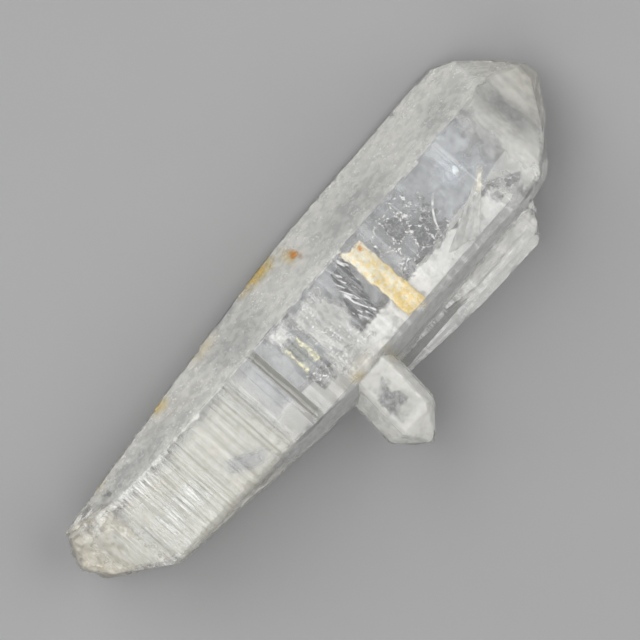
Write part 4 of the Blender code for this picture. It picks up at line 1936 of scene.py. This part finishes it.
INCLUSIONS = (
    Inclusion(
        flake(
            "iron_band", (8.4, 11.8), (-3.8, 8.9), (12.6, 11.8), grid=(30, 90), waves=0.10,
            wave_size=1.0, seed=5,
        ),
        SheetFinish(
            "iron_veil", light=(0.97, 0.91, 0.72, 1.0), dark=(0.93, 0.69, 0.19, 1.0), thin=0.8,
            solid=1.0, scale=1.1, low=0.35, high=0.55, rim=0.06, raggedness=0.28, lift=1.1,
        ),
    ),
    # painted reflections on a stepped crack: dark stripes of painted shade, light ones of painted
    # glints
    Inclusion(
        Sheet(
            "painted_reflection_blades", (7.9, 9.1, 12.4), (-3.2, -9.4, -0.5), (3.6, -0.3, -0.7), grid=(80, 60),
            waves=0.08, steps=0.30, step_count=4, seed=9,
        ),
        SheetFinish(
            "blade_painted_reflection", pattern=Pattern.BLADES, light=(0.95, 0.96, 0.98, 1.0),
            dark=(0.035, 0.04, 0.05, 1.0), thin=0.45, solid=1.0, scale=2.6, low=0.0, high=0.04,
            stretch=(1.0, 0.13, 0.3), turn=-19.0, rim=0.12, raggedness=0.4, roughness=0.15,
        ),
    ),
    Inclusion(
        flake(
            "crackle_veil", (11.0, 21.4), (-0.4, 9.2), (12.3, 11.8), grid=(90, 80), waves=0.35,
            wave_size=2.0, seed=13,
        ),
        SheetFinish(
            "crackle_grey", pattern=Pattern.CRACKLE, light=WHITE, dark=(0.11, 0.115, 0.13, 1.0),
            thin=0.10, solid=0.95, scale=0.42, low=0.35, high=0.55, stretch=(1.0, 0.8, 1.0),
            turn=25.0, rim=0.10, raggedness=0.5,
        ),
    ),
    Inclusion(
        flake(
            "grey_veil", (-2.8, 4.9), (-2.0, 9.1), (12.3, 12.0), grid=(50, 60), waves=0.3,
            wave_size=1.6, seed=17,
        ),
        SheetFinish(
            "grey_scales", pattern=Pattern.SPECKS, light=WHITE, dark=(0.70, 0.70, 0.68, 1.0),
            thin=0.48, solid=0.95, scale=1.7, low=0.42, stretch=(1.0, 0.35, 1.0), rim=0.15,
            raggedness=0.4,
        ),
    ),
    Inclusion(
        flake(
            "white_crackle", (-6.4, -1.4), (4.6, 10.0), (12.8, 12.5), grid=(40, 44), waves=0.3,
            wave_size=1.1, seed=19,
        ),
        SheetFinish(
            "white_shatter", pattern=Pattern.SPECKS, light=(0.99, 0.99, 0.98, 1.0),
            dark=(0.90, 0.90, 0.88, 1.0), thin=0.40, solid=1.0, scale=1.8, low=0.32, high=0.48,
            rim=0.40, raggedness=0.9,
        ),
    ),
    Inclusion(
        flake(
            "lens_lines", (-5.1, -2.2), (1.6, 6.1), (12.5, 12.4), grid=(40, 50), waves=0.12,
            wave_size=1.2, seed=20,
        ),
        SheetFinish(
            "lens_yellow", pattern=Pattern.RIMMED, light=(0.95, 0.91, 0.58, 1.0),
            dark=(0.17, 0.19, 0.16, 1.0), thin=0.2, solid=0.95, scale=0.9, low=0.22, high=0.34,
            rim=0.09, raggedness=0.2,
        ),
    ),
    Inclusion(
        flake(
            "lens_foot", (-5.6, -2.2), (-1.6, 2.0), (12.7, 12.7), grid=(36, 36), waves=0.10,
            wave_size=1.1, seed=22,
        ),
        SheetFinish(
            "foot_shatter", pattern=Pattern.CRACKLE, light=WHITE, dark=(0.05, 0.05, 0.05, 1.0),
            thin=0.15, solid=0.95, scale=1.2, low=0.50, high=0.80, rim=0.14, raggedness=0.4,
        ),
    ),
    Inclusion(
        Sheet(
            "dark_wisp", (-21.1, 2.0, 12.45), (6.2, -3.5, 0.1), (1.5, 2.6, 0.0),
            outline=Outline.OVAL, grid=(60, 40), waves=0.0, margin=0.22, seed=21,
        ),
        SheetFinish(
            "wisp_grey", light=(0.40, 0.41, 0.42, 1.0), dark=(0.31, 0.32, 0.33, 1.0), thin=0.66,
            solid=0.82, scale=0.9, rim=0.36,
        ),
    ),
    Inclusion(
        Sheet(
            "cleft_blade", (19.4, -2.4, 11.7), (9.3, 5.2, 0.8), (4.6, -1.6, 0.2),
            outline=Outline.WEDGE, grid=(70, 40), waves=0.10, wave_size=1.4, margin=0.3, seed=25,
        ),
        SheetFinish(
            "cleft_pale", light=(0.84, 0.84, 0.82, 1.0), dark=(0.56, 0.56, 0.55, 1.0), thin=0.50,
            solid=0.80, scale=0.9, stretch=(0.4, 1.8, 1.0), turn=-31.0, rim=0.05, raggedness=0.08,
            lift=0.8,
        ),
    ),
    Inclusion(
        Sheet(
            "cleft_edge", (25.2, 0.4, 12.4), (3.4, 2.5, 0.1), (0.5, -0.8, 0.1), grid=(30, 12),
            waves=0.04, margin=0.22, seed=26,
        ),
        SheetFinish(
            "edge_cream", light=(0.95, 0.92, 0.83, 1.0), dark=(0.86, 0.82, 0.70, 1.0), thin=0.7,
            solid=1.0, scale=1.2,
        ),
    ),
    Inclusion(
        Sheet(
            "cleft_wing", (30.4, -2.6, 11.9), (-3.4, 3.6, 0.3), (-2.8, -2.2, 0.2),
            outline=Outline.WEDGE, grid=(54, 40), waves=0.25, wave_size=1.0, margin=0.3, seed=27,
        ),
        SheetFinish(
            "cleft_crackle", pattern=Pattern.CRACKLE, light=WHITE, dark=(0.14, 0.14, 0.15, 1.0),
            thin=0.20, solid=1.0, scale=1.3, low=0.35, high=0.5, rim=0.08, raggedness=0.2,
        ),
    ),
    Inclusion(
        Sheet(
            "arc_line", (18.6, -0.2, 12.5), (4.0, 5.4, 0.0), (0.34, -0.25, 0.0), grid=(60, 8),
            waves=0.0, bend=-0.8, margin=0.25, seed=28,
        ),
        SheetFinish(
            "arc_white", light=WHITE, dark=(0.85, 0.86, 0.86, 1.0), thin=0.35, solid=0.9, scale=1.5,
            rim=0.3, raggedness=0.2,
        ),
    ),
    # painted highlight: a soft bluish-white halo round the glint below
    Inclusion(
        flake(
            "painted_highlight_halo", (22.8, 28.6), (2.4, 7.8), (11.9, 11.7), outline=Outline.OVAL,
            grid=(36, 32), waves=0.3, seed=33,
        ),
        SheetFinish(
            "halo_painted_highlight", light=(0.90, 0.95, 1.0, 1.0), dark=(0.78, 0.85, 0.98, 1.0), thin=0.10,
            solid=0.70, scale=0.5, rim=0.5,
        ),
    ),
    # painted highlight: a small bright bluish-white glint under the roof
    Inclusion(
        flake(
            "blue_glint", (24.7, 26.8), (3.6, 5.8), (12.7, 12.7), outline=Outline.OVAL,
            grid=(28, 28), waves=0.05, seed=34,
        ),
        SheetFinish(
            "glint_blue", light=(0.97, 0.99, 1.0, 1.0), dark=(0.84, 0.92, 1.0, 1.0), thin=0.3,
            solid=0.95, scale=1.2, rim=0.42, raggedness=0.4,
        ),
    ),
    Inclusion(
        flake(
            "rust_dot", (10.3, 11.5), (6.3, 7.9), (12.85, 12.85), outline=Outline.OVAL,
            grid=(24, 24), waves=0.03, margin=0.2, seed=35,
        ),
        SheetFinish(
            "rust_dot", light=(0.93, 0.58, 0.16, 1.0), dark=(0.80, 0.40, 0.06, 1.0), thin=0.4,
            solid=0.9, scale=1.6, rim=0.45, raggedness=0.8,
        ),
    ),
    # painted reflection: a white sheet for the light that the front undercut reflects up through
    # the roof
    Inclusion(
        flake(
            "front_painted_reflection", (-4.0, 31.5), (-3.8, 0.6), (11.5, 11.1), grid=(150, 30), waves=0.10,
            seed=41,
        ),
        SheetFinish(
            "front_painted_reflection", light=(0.99, 0.99, 0.98, 1.0), dark=(0.84, 0.84, 0.83, 1.0), thin=0.6,
            solid=1.0, scale=0.6, low=0.3, high=0.5, rim=0.10, raggedness=0.45,
        ),
    ),
    # partly a faint bluish milkiness, partly painted light that lifts the stone's shadow seen
    # through the roof
    Inclusion(
        flake(
            "clear_haze_and_fill", (-20.0, 34.5), (0.3, 10.0), (10.9, 10.9), grid=(110, 26), wave_size=5.0,
            seed=51,
        ),
        SheetFinish(
            "roof_haze_and_fill_light", light=(0.76, 0.785, 0.83, 1.0), dark=(0.61, 0.64, 0.695, 1.0), thin=0.36,
            solid=0.60, scale=0.3, rim=0.10, raggedness=0.2,
        ),
    ),
    Inclusion(
        flake(
            "groove_shade", (-8.65, -7.05), (-3.4, 9.4), (12.8, 12.8), grid=(16, 60), waves=0.0,
            margin=0.2, seed=42,
        ),
        SheetFinish(
            "groove_grey", light=(0.22, 0.22, 0.19, 1.0), dark=(0.19, 0.19, 0.16, 1.0), thin=0.88,
            solid=0.96, scale=0.5, rim=0.16, raggedness=0.05,
        ),
    ),
    # painted shade: a grey strip under the front slope that darkens what is seen through it
    Inclusion(
        Sheet(
            "front_painted_shade", (-19.0, -4.0, 11.0), (51.0, 0.4, 0.0), (0.0, -1.8, -3.2), grid=(130, 14),
            waves=0.04, seed=44,
        ),
        SheetFinish(
            "painted_shade_strip", light=(0.56, 0.56, 0.56, 1.0), dark=(0.44, 0.44, 0.44, 1.0), thin=0.48,
            solid=0.72, scale=0.3, stretch=(0.3, 1.0, 1.0), rim=0.12, raggedness=0.1, lift=0.8,
        ),
    ),
    Inclusion(
        Sheet(
            "back_haze", (-43.5, 12.1, 7.8), (92.0, 1.2, 0.0), (0.0, 8.6, -14.0), grid=(180, 44),
            waves=0.25, seed=45,
        ),
        SheetFinish(
            "haze_grey", pattern=Pattern.SPECKS, light=(0.95, 0.94, 0.91, 1.0),
            dark=(0.81, 0.805, 0.77, 1.0), thin=0.44, solid=0.92, scale=0.8, low=0.36, high=0.64,
            rim=0.05,
        ),
    ),
    Inclusion(
        flake(
            "milk_base", (-42.0, -8.6), (-3.8, 9.6), (8.8, 12.0), grid=(110, 50), bow=0.9,
            waves=0.12, wave_size=6.0, seed=43,
        ),
        SheetFinish(
            "milk_cream", light=(0.72, 0.72, 0.67, 1.0), dark=(0.62, 0.605, 0.52, 1.0), thin=0.58,
            solid=0.84, scale=0.50, stretch=(4.6, 0.16, 1.0), low=0.30, high=0.70, rim=0.22,
            raggedness=0.06,
        ),
    ),
    # painted highlights: white streaked sheets under the roof, for glints off its growth lines
    Inclusion(
        flake(
            "upper_glint", (-34.5, -23.0), (6.0, 9.6), (12.6, 13.0), grid=(90, 24), waves=0.0,
            margin=0.22, seed=53,
        ),
        SheetFinish(
            "glint_white", light=WHITE, dark=(0.90, 0.90, 0.88, 1.0), thin=0.0, solid=0.9,
            scale=1.0, stretch=(3.4, 0.16, 1.0), low=0.42, high=0.66, rim=0.42, raggedness=0.15,
        ),
    ),
    # painted highlight: a second streak of glints off the roof's growth lines
    Inclusion(
        flake(
            "lower_glint", (-33.5, -22.0), (0.2, 4.6), (12.6, 13.0), grid=(90, 24), waves=0.0,
            margin=0.22, seed=54,
        ),
        SheetFinish(
            "glint_pale", light=WHITE, dark=(0.90, 0.90, 0.87, 1.0), thin=0.0, solid=0.9, scale=1.0,
            stretch=(3.4, 0.16, 1.0), low=0.42, high=0.66, rim=0.42, raggedness=0.15,
        ),
    ),
    Inclusion(
        flake(
            "base_cream", (-43.5, -32.5), (-6.0, 13.0), (6.2, 11.0), grid=(110, 120), waves=0.22,
            wave_size=0.9, margin=0.25, seed=46,
        ),
        SheetFinish(
            "base_chalk", light=(0.84, 0.82, 0.74, 1.0), dark=(0.50, 0.46, 0.37, 1.0), thin=0.45,
            solid=1.0, scale=1.5, stretch=(0.30, 1.6, 0.35), turn=40.0, low=0.30, high=0.55,
            rim=0.16,
        ),
    ),
    Inclusion(
        flake(
            "tip_milk", (29.0, 44.0), (-9.0, 19.5), (12.9, 12.9), grid=(90, 110), waves=0.05,
            wave_size=2.0, margin=0.45, seed=48,
        ),
        SheetFinish(
            "tip_cream", light=(0.88, 0.88, 0.86, 1.0), dark=(0.74, 0.73, 0.69, 1.0), thin=0.40,
            solid=0.70, scale=0.5, stretch=(1.6, 0.4, 1.0), low=0.35, high=0.65, rim=0.26,
        ),
    ),
    Inclusion(
        flake(
            "tip_band", (34.2, 37.3), (-0.6, 9.6), (12.9, 12.9), grid=(30, 50), waves=0.0,
            margin=0.25, seed=52,
        ),
        SheetFinish(
            "band_grey", light=(0.42, 0.42, 0.42, 1.0), dark=(0.34, 0.34, 0.34, 1.0), thin=0.40,
            solid=0.60, scale=0.8, rim=0.45, raggedness=0.1,
        ),
    ),
    Inclusion(
        Sheet(
            "side_milk", (-0.4, -3.3, 12.6), (-1.2, -13.1, -2.0), (22.0, -0.6, 0.0), grid=(80, 130),
            waves=0.05, wave_size=2.0, margin=0.45, seed=50,
        ),
        SheetFinish(
            "side_cream", light=(0.93, 0.93, 0.91, 1.0), dark=(0.84, 0.83, 0.78, 1.0), thin=0.56,
            solid=0.86, scale=0.35, low=0.35, high=0.6, rim=0.04, raggedness=0.05,
        ),
        SIDE_POINT,
    ),
    Inclusion(
        Sheet(
            "side_wing", (-3.6, -4.2, 9.2), (-0.9, -11.2, -1.6), (3.4, 0.0, 5.6), grid=(70, 30),
            waves=0.03, margin=0.4, seed=62,
        ),
        SheetFinish(
            "wing_cream", light=(0.93, 0.93, 0.91, 1.0), dark=(0.84, 0.83, 0.78, 1.0), thin=0.42,
            solid=0.78, scale=0.6, low=0.35, high=0.6, rim=0.06, raggedness=0.05,
        ),
        SIDE_POINT,
    ),
    Inclusion(
        flake(
            "root_milk", (-3.0, 3.8), (-4.3, -0.8), (12.8, 12.8), outline=Outline.OVAL,
            grid=(60, 40), waves=0.05, margin=0.2, seed=60,
        ),
        SheetFinish(
            "root_beige", light=(0.78, 0.76, 0.70, 1.0), dark=(0.70, 0.67, 0.59, 1.0), thin=0.55,
            solid=0.85, scale=0.8, rim=0.45, raggedness=0.1,
        ),
    ),
    Inclusion(
        flake(
            "shelf_lines", (2.4, 12.8), (-8.0, -4.8), (5.6, 5.6), grid=(90, 20), waves=0.0,
            margin=0.12, seed=56,
        ),
        SheetFinish(
            "line_white", light=WHITE, dark=(0.80, 0.80, 0.80, 1.0), thin=0.20, solid=1.0,
            scale=1.0, stretch=(2.6, 0.15, 1.0), high=0.54, rim=0.10, raggedness=0.0,
        ),
        LOW_SHELF,
    ),
    Inclusion(
        Sheet(
            "rust_fleck", (4.2, 13.05, 6.0), (1.5, -0.25, 0.4), (0.0, 0.75, -1.3),
            outline=Outline.OVAL, grid=(24, 24), waves=0.05, margin=0.15, seed=57,
        ),
        SheetFinish(
            "rust_deep", light=(0.92, 0.60, 0.09, 1.0), dark=(0.80, 0.42, 0.03, 1.0), thin=0.7,
            solid=1.0, scale=1.2, rim=0.35, raggedness=0.5,
        ),
    ),
    Inclusion(
        Sheet(
            "iron_edge", (-4.2, 14.5, 3.4), (7.8, 0.2, -0.2), (0.0, 1.3, -2.2), grid=(60, 24),
            waves=0.05, margin=0.15, seed=58,
        ),
        SheetFinish(
            "edge_yellow", light=(0.94, 0.80, 0.42, 1.0), dark=(0.86, 0.62, 0.18, 1.0), thin=0.0,
            solid=0.9, scale=0.7, high=0.60, rim=0.35, raggedness=0.6,
        ),
    ),
    Inclusion(
        Sheet(
            "iron_patch", (-22.2, 12.5, 5.4), (3.8, 0.4, -0.4), (0.0, 1.2, -2.0),
            outline=Outline.OVAL, waves=0.05, margin=0.15, seed=59,
        ),
        SheetFinish(
            "patch_yellow", light=(0.94, 0.82, 0.46, 1.0), dark=(0.86, 0.66, 0.22, 1.0), thin=0.1,
            solid=0.9, scale=0.9, low=0.38, high=0.58, rim=0.4, raggedness=0.6,
        ),
    ),
    Inclusion(
        flake(
            "shelf_milk", (12.9, 30.6), (-9.4, -4.8), (6.9, 6.9), grid=(80, 30), waves=0.05,
            wave_size=2.0, margin=0.25, seed=55,
        ),
        SheetFinish(
            "shelf_white", light=(0.97, 0.97, 0.95, 1.0), dark=(0.88, 0.87, 0.84, 1.0), thin=0.40,
            solid=0.85, scale=0.5, stretch=(0.5, 1.6, 1.0), low=0.38, high=0.6, rim=0.12,
            raggedness=0.25,
        ),
        HIGH_SHELF,
    ),
    Inclusion(
        Sheet(
            "side_smoke", (-0.35, -4.1, 12.7), (-0.35, -7.8, -0.8), (4.3, 0.0, 0.0),
            outline=Outline.OVAL, grid=(56, 40), waves=0.03, wave_size=1.2, margin=0.2, seed=47,
        ),
        SheetFinish(
            "smoke_grey", light=(0.50, 0.505, 0.51, 1.0), dark=(0.15, 0.155, 0.16, 1.0), thin=0.30,
            solid=0.86, scale=0.9, low=0.34, high=0.60, rim=0.36, raggedness=0.7,
        ),
        SIDE_POINT,
    ),
    Inclusion(
        Sheet(
            "front_haze", (-41.5, -4.6, 4.0), (33.0, 0.0, 0.0), (0.0, 8.5, -13.0), grid=(100, 50),
            waves=0.08, margin=0.5, seed=61,
        ),
        SheetFinish(
            "haze_milk", light=(0.90, 0.90, 0.86, 1.0), dark=(0.76, 0.75, 0.69, 1.0), thin=0.52,
            solid=0.86, scale=0.45, stretch=(1.6, 0.5, 0.5), low=0.34, rim=0.18, raggedness=0.35,
        ),
    ),
)


# ------------------------------ studio


@dataclass(frozen=True)
class Lamp:
    """A soft round lamp that points at the middle of the stone, in degrees, metres and watts."""

    name: str
    azimuth: float
    elevation: float
    distance: float
    size: float
    power: float

    def build(self) -> None:
        """Makes the lamp."""
        data = bpy.data.lights.new(self.name, "AREA")
        data.shape = "DISK"
        data.size = self.size
        data.energy = self.power
        around, up = math.radians(self.azimuth), math.radians(self.elevation)
        level = math.cos(up)
        out = Vector((math.cos(around) * level, math.sin(around) * level, math.sin(up)))
        lamp = bpy.data.objects.new(self.name, data)
        lamp.location = out * self.distance
        lamp.rotation_euler = out.to_track_quat("Z", "Y").to_euler()
        bpy.context.scene.collection.objects.link(lamp)


@dataclass(frozen=True)
class Studio:
    """A pale floor, soft lamps and a camera that looks straight down.

    Its lengths are millimetres, apart from the camera's clip, in metres.
    """

    lamps: tuple[Lamp, ...] = (
        Lamp("key_lamp", -40.0, 42.0, 0.60, 0.70, 3.1),
        Lamp("back_lamp", 92.0, 30.0, 0.75, 1.00, 7.2),
        Lamp("top_lamp", 150.0, 70.0, 0.80, 0.60, 2.8),
        Lamp("side_lamp", 205.0, 42.0, 0.80, 0.90, 4.0),
    )
    floor_colour: Colour = (0.205, 0.205, 0.205, 1.0)
    world_colour: Colour = (0.52, 0.52, 0.52, 1.0)
    world_strength: float = 0.33
    frame_width: float = 80.0
    looks_at: Span = (1.01, 4.985)
    turned: float = -48.7
    height: float = 900.0
    sensor: float = 36.0
    clip: Span = (0.01, 10.0)
    floor_reach: float = 1500.0
    floor_drop: float = 0.02
    floor_roughness: float = 0.7
    floor_grain: float = 60.0
    floor_contrast: float = 1.04

    def build(self) -> None:
        """Makes the floor, the world, the lamps and the camera."""
        self.lay_floor()
        for lamp in self.lamps:
            lamp.build()
        self.light_world()
        self.place_camera()
        bpy.context.scene.view_settings.view_transform = "Standard"

    def light_world(self) -> None:
        """Makes the even light all round."""
        world = bpy.data.worlds.new("soft_room")
        world.use_nodes = True
        background = world.node_tree.nodes["Background"]
        background.inputs["Color"].default_value = self.world_colour
        background.inputs["Strength"].default_value = self.world_strength
        bpy.context.scene.world = world

    def place_camera(self) -> None:
        """Makes the camera, turned so that the stone lies across the picture's diagonal."""
        data = bpy.data.cameras.new("camera")
        data.sensor_width = self.sensor
        data.lens = self.sensor * self.height / self.frame_width
        data.clip_start, data.clip_end = self.clip
        camera = bpy.data.objects.new("camera", data)
        camera.location = (self.looks_at[0] * MM, self.looks_at[1] * MM, self.height * MM)
        camera.rotation_euler = (0.0, 0.0, math.radians(self.turned))
        bpy.context.scene.collection.objects.link(camera)
        bpy.context.scene.camera = camera

    def lay_floor(self) -> None:
        """Makes the floor, a wide sheet just under the stone with a faint grain."""
        side = np.array((-self.floor_reach, self.floor_reach))
        x, y = np.meshgrid(side, side, indexing="ij")
        points = np.stack([x, y, np.full_like(x, -self.floor_drop)], -1).reshape(-1, 3)
        floor = make_object("floor", points, grid_quads(2, 2, closed=False))
        material, nodes = new_material("pale_floor")
        grain = nodes.noise(nodes.add("TexCoord").outputs["Object"], self.floor_grain, 4.0)
        lighter = tuple(self.floor_contrast * part for part in self.floor_colour[:3]) + (1.0,)
        shade = nodes.mix(grain, self.floor_colour, lighter)
        look = {"Base Color": shade, "Roughness": self.floor_roughness}
        shader = nodes.add("BsdfPrincipled", look)
        nodes.add("OutputMaterial", {"Surface": shader.outputs[0]})
        floor.data.materials.append(material)


def main() -> None:
    """Builds, dresses and lights the quartz point."""
    logging.basicConfig(level=logging.INFO, format="%(message)s")
    effects = SharedEffects()
    skin = QuartzSkin()
    skin.dress(skin.build(), effects)
    for inclusion in INCLUSIONS:
        inclusion.build(effects)
    Studio().build()


if __name__ == "__main__":
    main()
